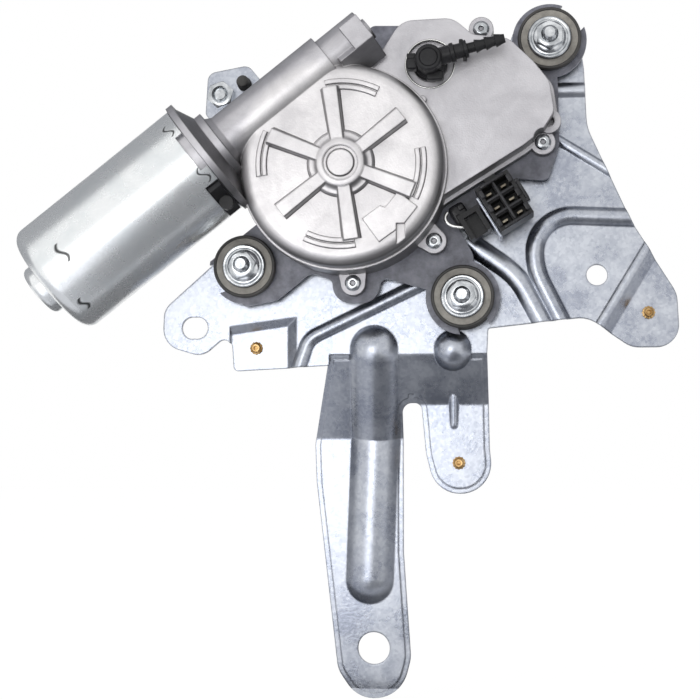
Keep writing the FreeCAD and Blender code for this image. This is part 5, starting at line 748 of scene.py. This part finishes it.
new_piece("socket_details", [(in_socket(block), 0) for block in blocks], [glossy])

# %% [markdown]
# A bent wire hook reaches out of the harness clip to the left. It is a round wire of 1.4 mm: a circle
# carried along a smooth curve through seven points in the plane of the clip.

# %% Wire hook


def wire(points, level, radius, steps=40, around=16):
    """A circle square to a smooth curve in XZ: point = c + r (across cos a + Y sin a), ends drawn in."""
    given = np.linspace(0, 1, len(points))
    share = np.linspace(0, 1, steps)
    powers = len(points) - 1
    curve = np.stack([np.polyval(np.polyfit(given, axis, powers), share) for axis in np.array(points).T], -1)
    way = np.gradient(curve, axis=0)
    way /= np.linalg.norm(way, axis=1)[:, None]
    angle = np.linspace(0, 2 * np.pi, around + 1)
    grid = np.empty((steps, around + 1, 3))
    grid[..., 0] = curve[:, :1] - way[:, 1:] * radius * np.cos(angle)
    grid[..., 2] = curve[:, 1:] + way[:, :1] * radius * np.cos(angle)
    grid[..., 1] = level + radius * np.sin(angle)
    ends = [np.broadcast_to(grid[row, :-1].mean(axis=0), grid[row].shape)[None] for row in (0, -1)]
    return np.concatenate([ends[0], grid, ends[1]])


HOOK = [(6.4, -58.6), (5.6, -60.1), (5.7, -61.8), (6.9, -63.3), (8.8, -64.2), (11.0, -64.6), (13.4, -64.6)]
HOOK_LEVEL, HOOK_RADIUS = -34.4, 0.7
new_piece("clip_hook", [(wire(HOOK, HOOK_LEVEL, HOOK_RADIUS), 0)], [bright])

# %% [markdown]
# ## Floor, light and background
# A pale floor under the part keeps its shadow, and a plain white world lights it softly from all round.
# Both look white to the camera and in reflections through the Light Path node, so no lamp has to do it.

# %% Rays that see the background


def seen_as_background(tree):
    """One for camera, glossy and transmission rays, and zero for the rest."""
    rays = tree.nodes.new("ShaderNodeLightPath")
    total = rays.outputs["Is Camera Ray"]
    for name in ("Is Glossy Ray", "Is Transmission Ray"):
        adder = tree.nodes.new("ShaderNodeMath")
        adder.operation = "ADD"
        adder.use_clamp = True
        tree.links.new(total, adder.inputs[0])
        tree.links.new(rays.outputs[name], adder.inputs[1])
        total = adder.outputs[0]
    return total


# %% Floor
# What a seeing ray meets is mostly the glow, and the rest is paper, which keeps the shadow.
FLOOR_SIZE, FLOOR_GAP, FLOOR_GLOW, GLOW_SHARE = 12.0, 0.0005, 1.03, 0.94
bpy.ops.mesh.primitive_plane_add(size=FLOOR_SIZE, location=(0, 0, cad_low[2] - FLOOR_GAP))
floor = bpy.context.object
floor.name = "floor"
floor_finish, tree, shader = new_finish("floor_paper", Roughness=0.9)
shader.inputs["Base Color"].default_value = (0.95, 0.95, 0.95, 1)
glow = tree.nodes.new("ShaderNodeEmission")
glow.inputs["Strength"].default_value = FLOOR_GLOW
share = tree.nodes.new("ShaderNodeMath")
share.operation = "MULTIPLY"
share.inputs[1].default_value = GLOW_SHARE
blend = tree.nodes.new("ShaderNodeMixShader")
tree.links.new(seen_as_background(tree), share.inputs[0])
tree.links.new(share.outputs[0], blend.inputs["Fac"])
tree.links.new(shader.outputs[0], blend.inputs[1])
tree.links.new(glow.outputs[0], blend.inputs[2])
tree.links.new(blend.outputs[0], tree.nodes["Material Output"].inputs["Surface"])
floor.data.materials.append(floor_finish)

# %% World
ROOM_LIGHT = 0.55
world = bpy.data.worlds.new("studio")
scene.world = world
world.use_nodes = True
tree = world.node_tree
background = tree.nodes["Background"]
background.inputs["Color"].default_value = (1, 1, 1, 1)
background.inputs["Strength"].default_value = ROOM_LIGHT
seen = tree.nodes.new("ShaderNodeBackground")
seen.inputs["Strength"].default_value = 1.0
seen.inputs["Color"].default_value = (1, 1, 1, 1)
blend = tree.nodes.new("ShaderNodeMixShader")
tree.links.new(seen_as_background(tree), blend.inputs["Fac"])
tree.links.new(background.outputs[0], blend.inputs[1])
tree.links.new(seen.outputs[0], blend.inputs[2])
tree.links.new(blend.outputs[0], tree.nodes["World Output"].inputs["Surface"])

# %% [markdown]
# A photographer keeps grey cards round shiny metal, so that its sides have something darker than the
# white room to reflect. Here the cards are glowing sheets that give painted reflections. They stand right,
# left and above, and lie low behind and in front. Two more in front are for one piece each: a dark one for
# the can, and one that glows brighter than the room for the bracket's long leg. The camera doesn't see
# them, they cast no shadow, light nothing by diffuse rays, and only reflections show them.

# %% Grey cards


def grey_card(name, place, turn, size, tone):
    """A glowing card that only reflections see: its centre in metres, its turn in degrees, its size and the
    grey of its glow.
    """
    bpy.ops.mesh.primitive_plane_add(size=1.0, location=place,
                                     rotation=[math.radians(angle) for angle in turn])
    card = bpy.context.object
    card.name = name
    card.scale = (*size, 1.0)
    paper, nodes, _ = new_finish(name + "_paper", Roughness=1.0)
    card_glow = nodes.nodes.new("ShaderNodeEmission")
    card_glow.inputs["Color"].default_value = (tone * 0.96, tone * 0.98, tone * 1.04, 1)
    nodes.links.new(card_glow.outputs[0], nodes.nodes["Material Output"].inputs["Surface"])
    card.data.materials.append(paper)
    card.visible_camera = False
    card.visible_diffuse = False
    card.visible_shadow = False
    card.visible_transmission = False
    return card


FLAT, UPRIGHT = (0, 0, 0), (0, 90, 0)
FOOT = cad_low[2]
grey_card("low_card", (0.0, -0.145, FOOT + 0.004), FLAT, (1.3, 0.23), 0.66)
grey_card("leg_card", (-0.145, -0.63, FOOT + 0.006), FLAT, (0.19, 0.74), 1.5)
grey_card("can_card", (0.07, -0.36, FOOT + 0.008), FLAT, (0.24, 0.60), 0.22)
grey_card("shade_card", (0.02, 0.16, FOOT + 0.004), FLAT, (0.7, 0.42), 0.16)
grey_card("right_card", (0.75, -0.15, -0.05), UPRIGHT, (1.1, 0.9), 0.28)
grey_card("left_card", (-0.85, 0.6, -0.05), UPRIGHT, (1.4, 1.9), 0.34)
grey_card("top_card", (0.0, 0.6, 0.65), FLAT, (1.7, 1.9), 0.34)

# %% [markdown]
# Two lamps do different work. The broad one up on the left shapes the dull surfaces, and is kept out of
# the metal's reflections. The small soft box beside the camera is what the flat metal mirrors.

# %% Lamps


def soft_lamp(name, place, target, size, power):
    """A square area lamp at a place, aimed at a target, sizes in metres and power in watts."""
    lamp = bpy.data.objects.new(name, bpy.data.lights.new(name, "AREA"))
    scene.collection.objects.link(lamp)
    lamp.data.size = size
    lamp.data.energy = power
    lamp.location = place
    lamp.rotation_euler = (Vector(target) - Vector(place)).to_track_quat("-Z", "Y").to_euler()
    return lamp


shaping = soft_lamp("shaping_box", (-0.75, -0.75, 0.65), AIM, 0.8, 11.0)
shaping.visible_glossy = False
soft_lamp("camera_box", (-0.165, -0.80, -0.14), (-0.05, 0.0, -0.14), 0.31, 0.78)

# %% [markdown]
# ## Finish
# The view transform stays plain, so that each colour renders about as it is written.

# %% Finish
scene.view_settings.view_transform = "Standard"
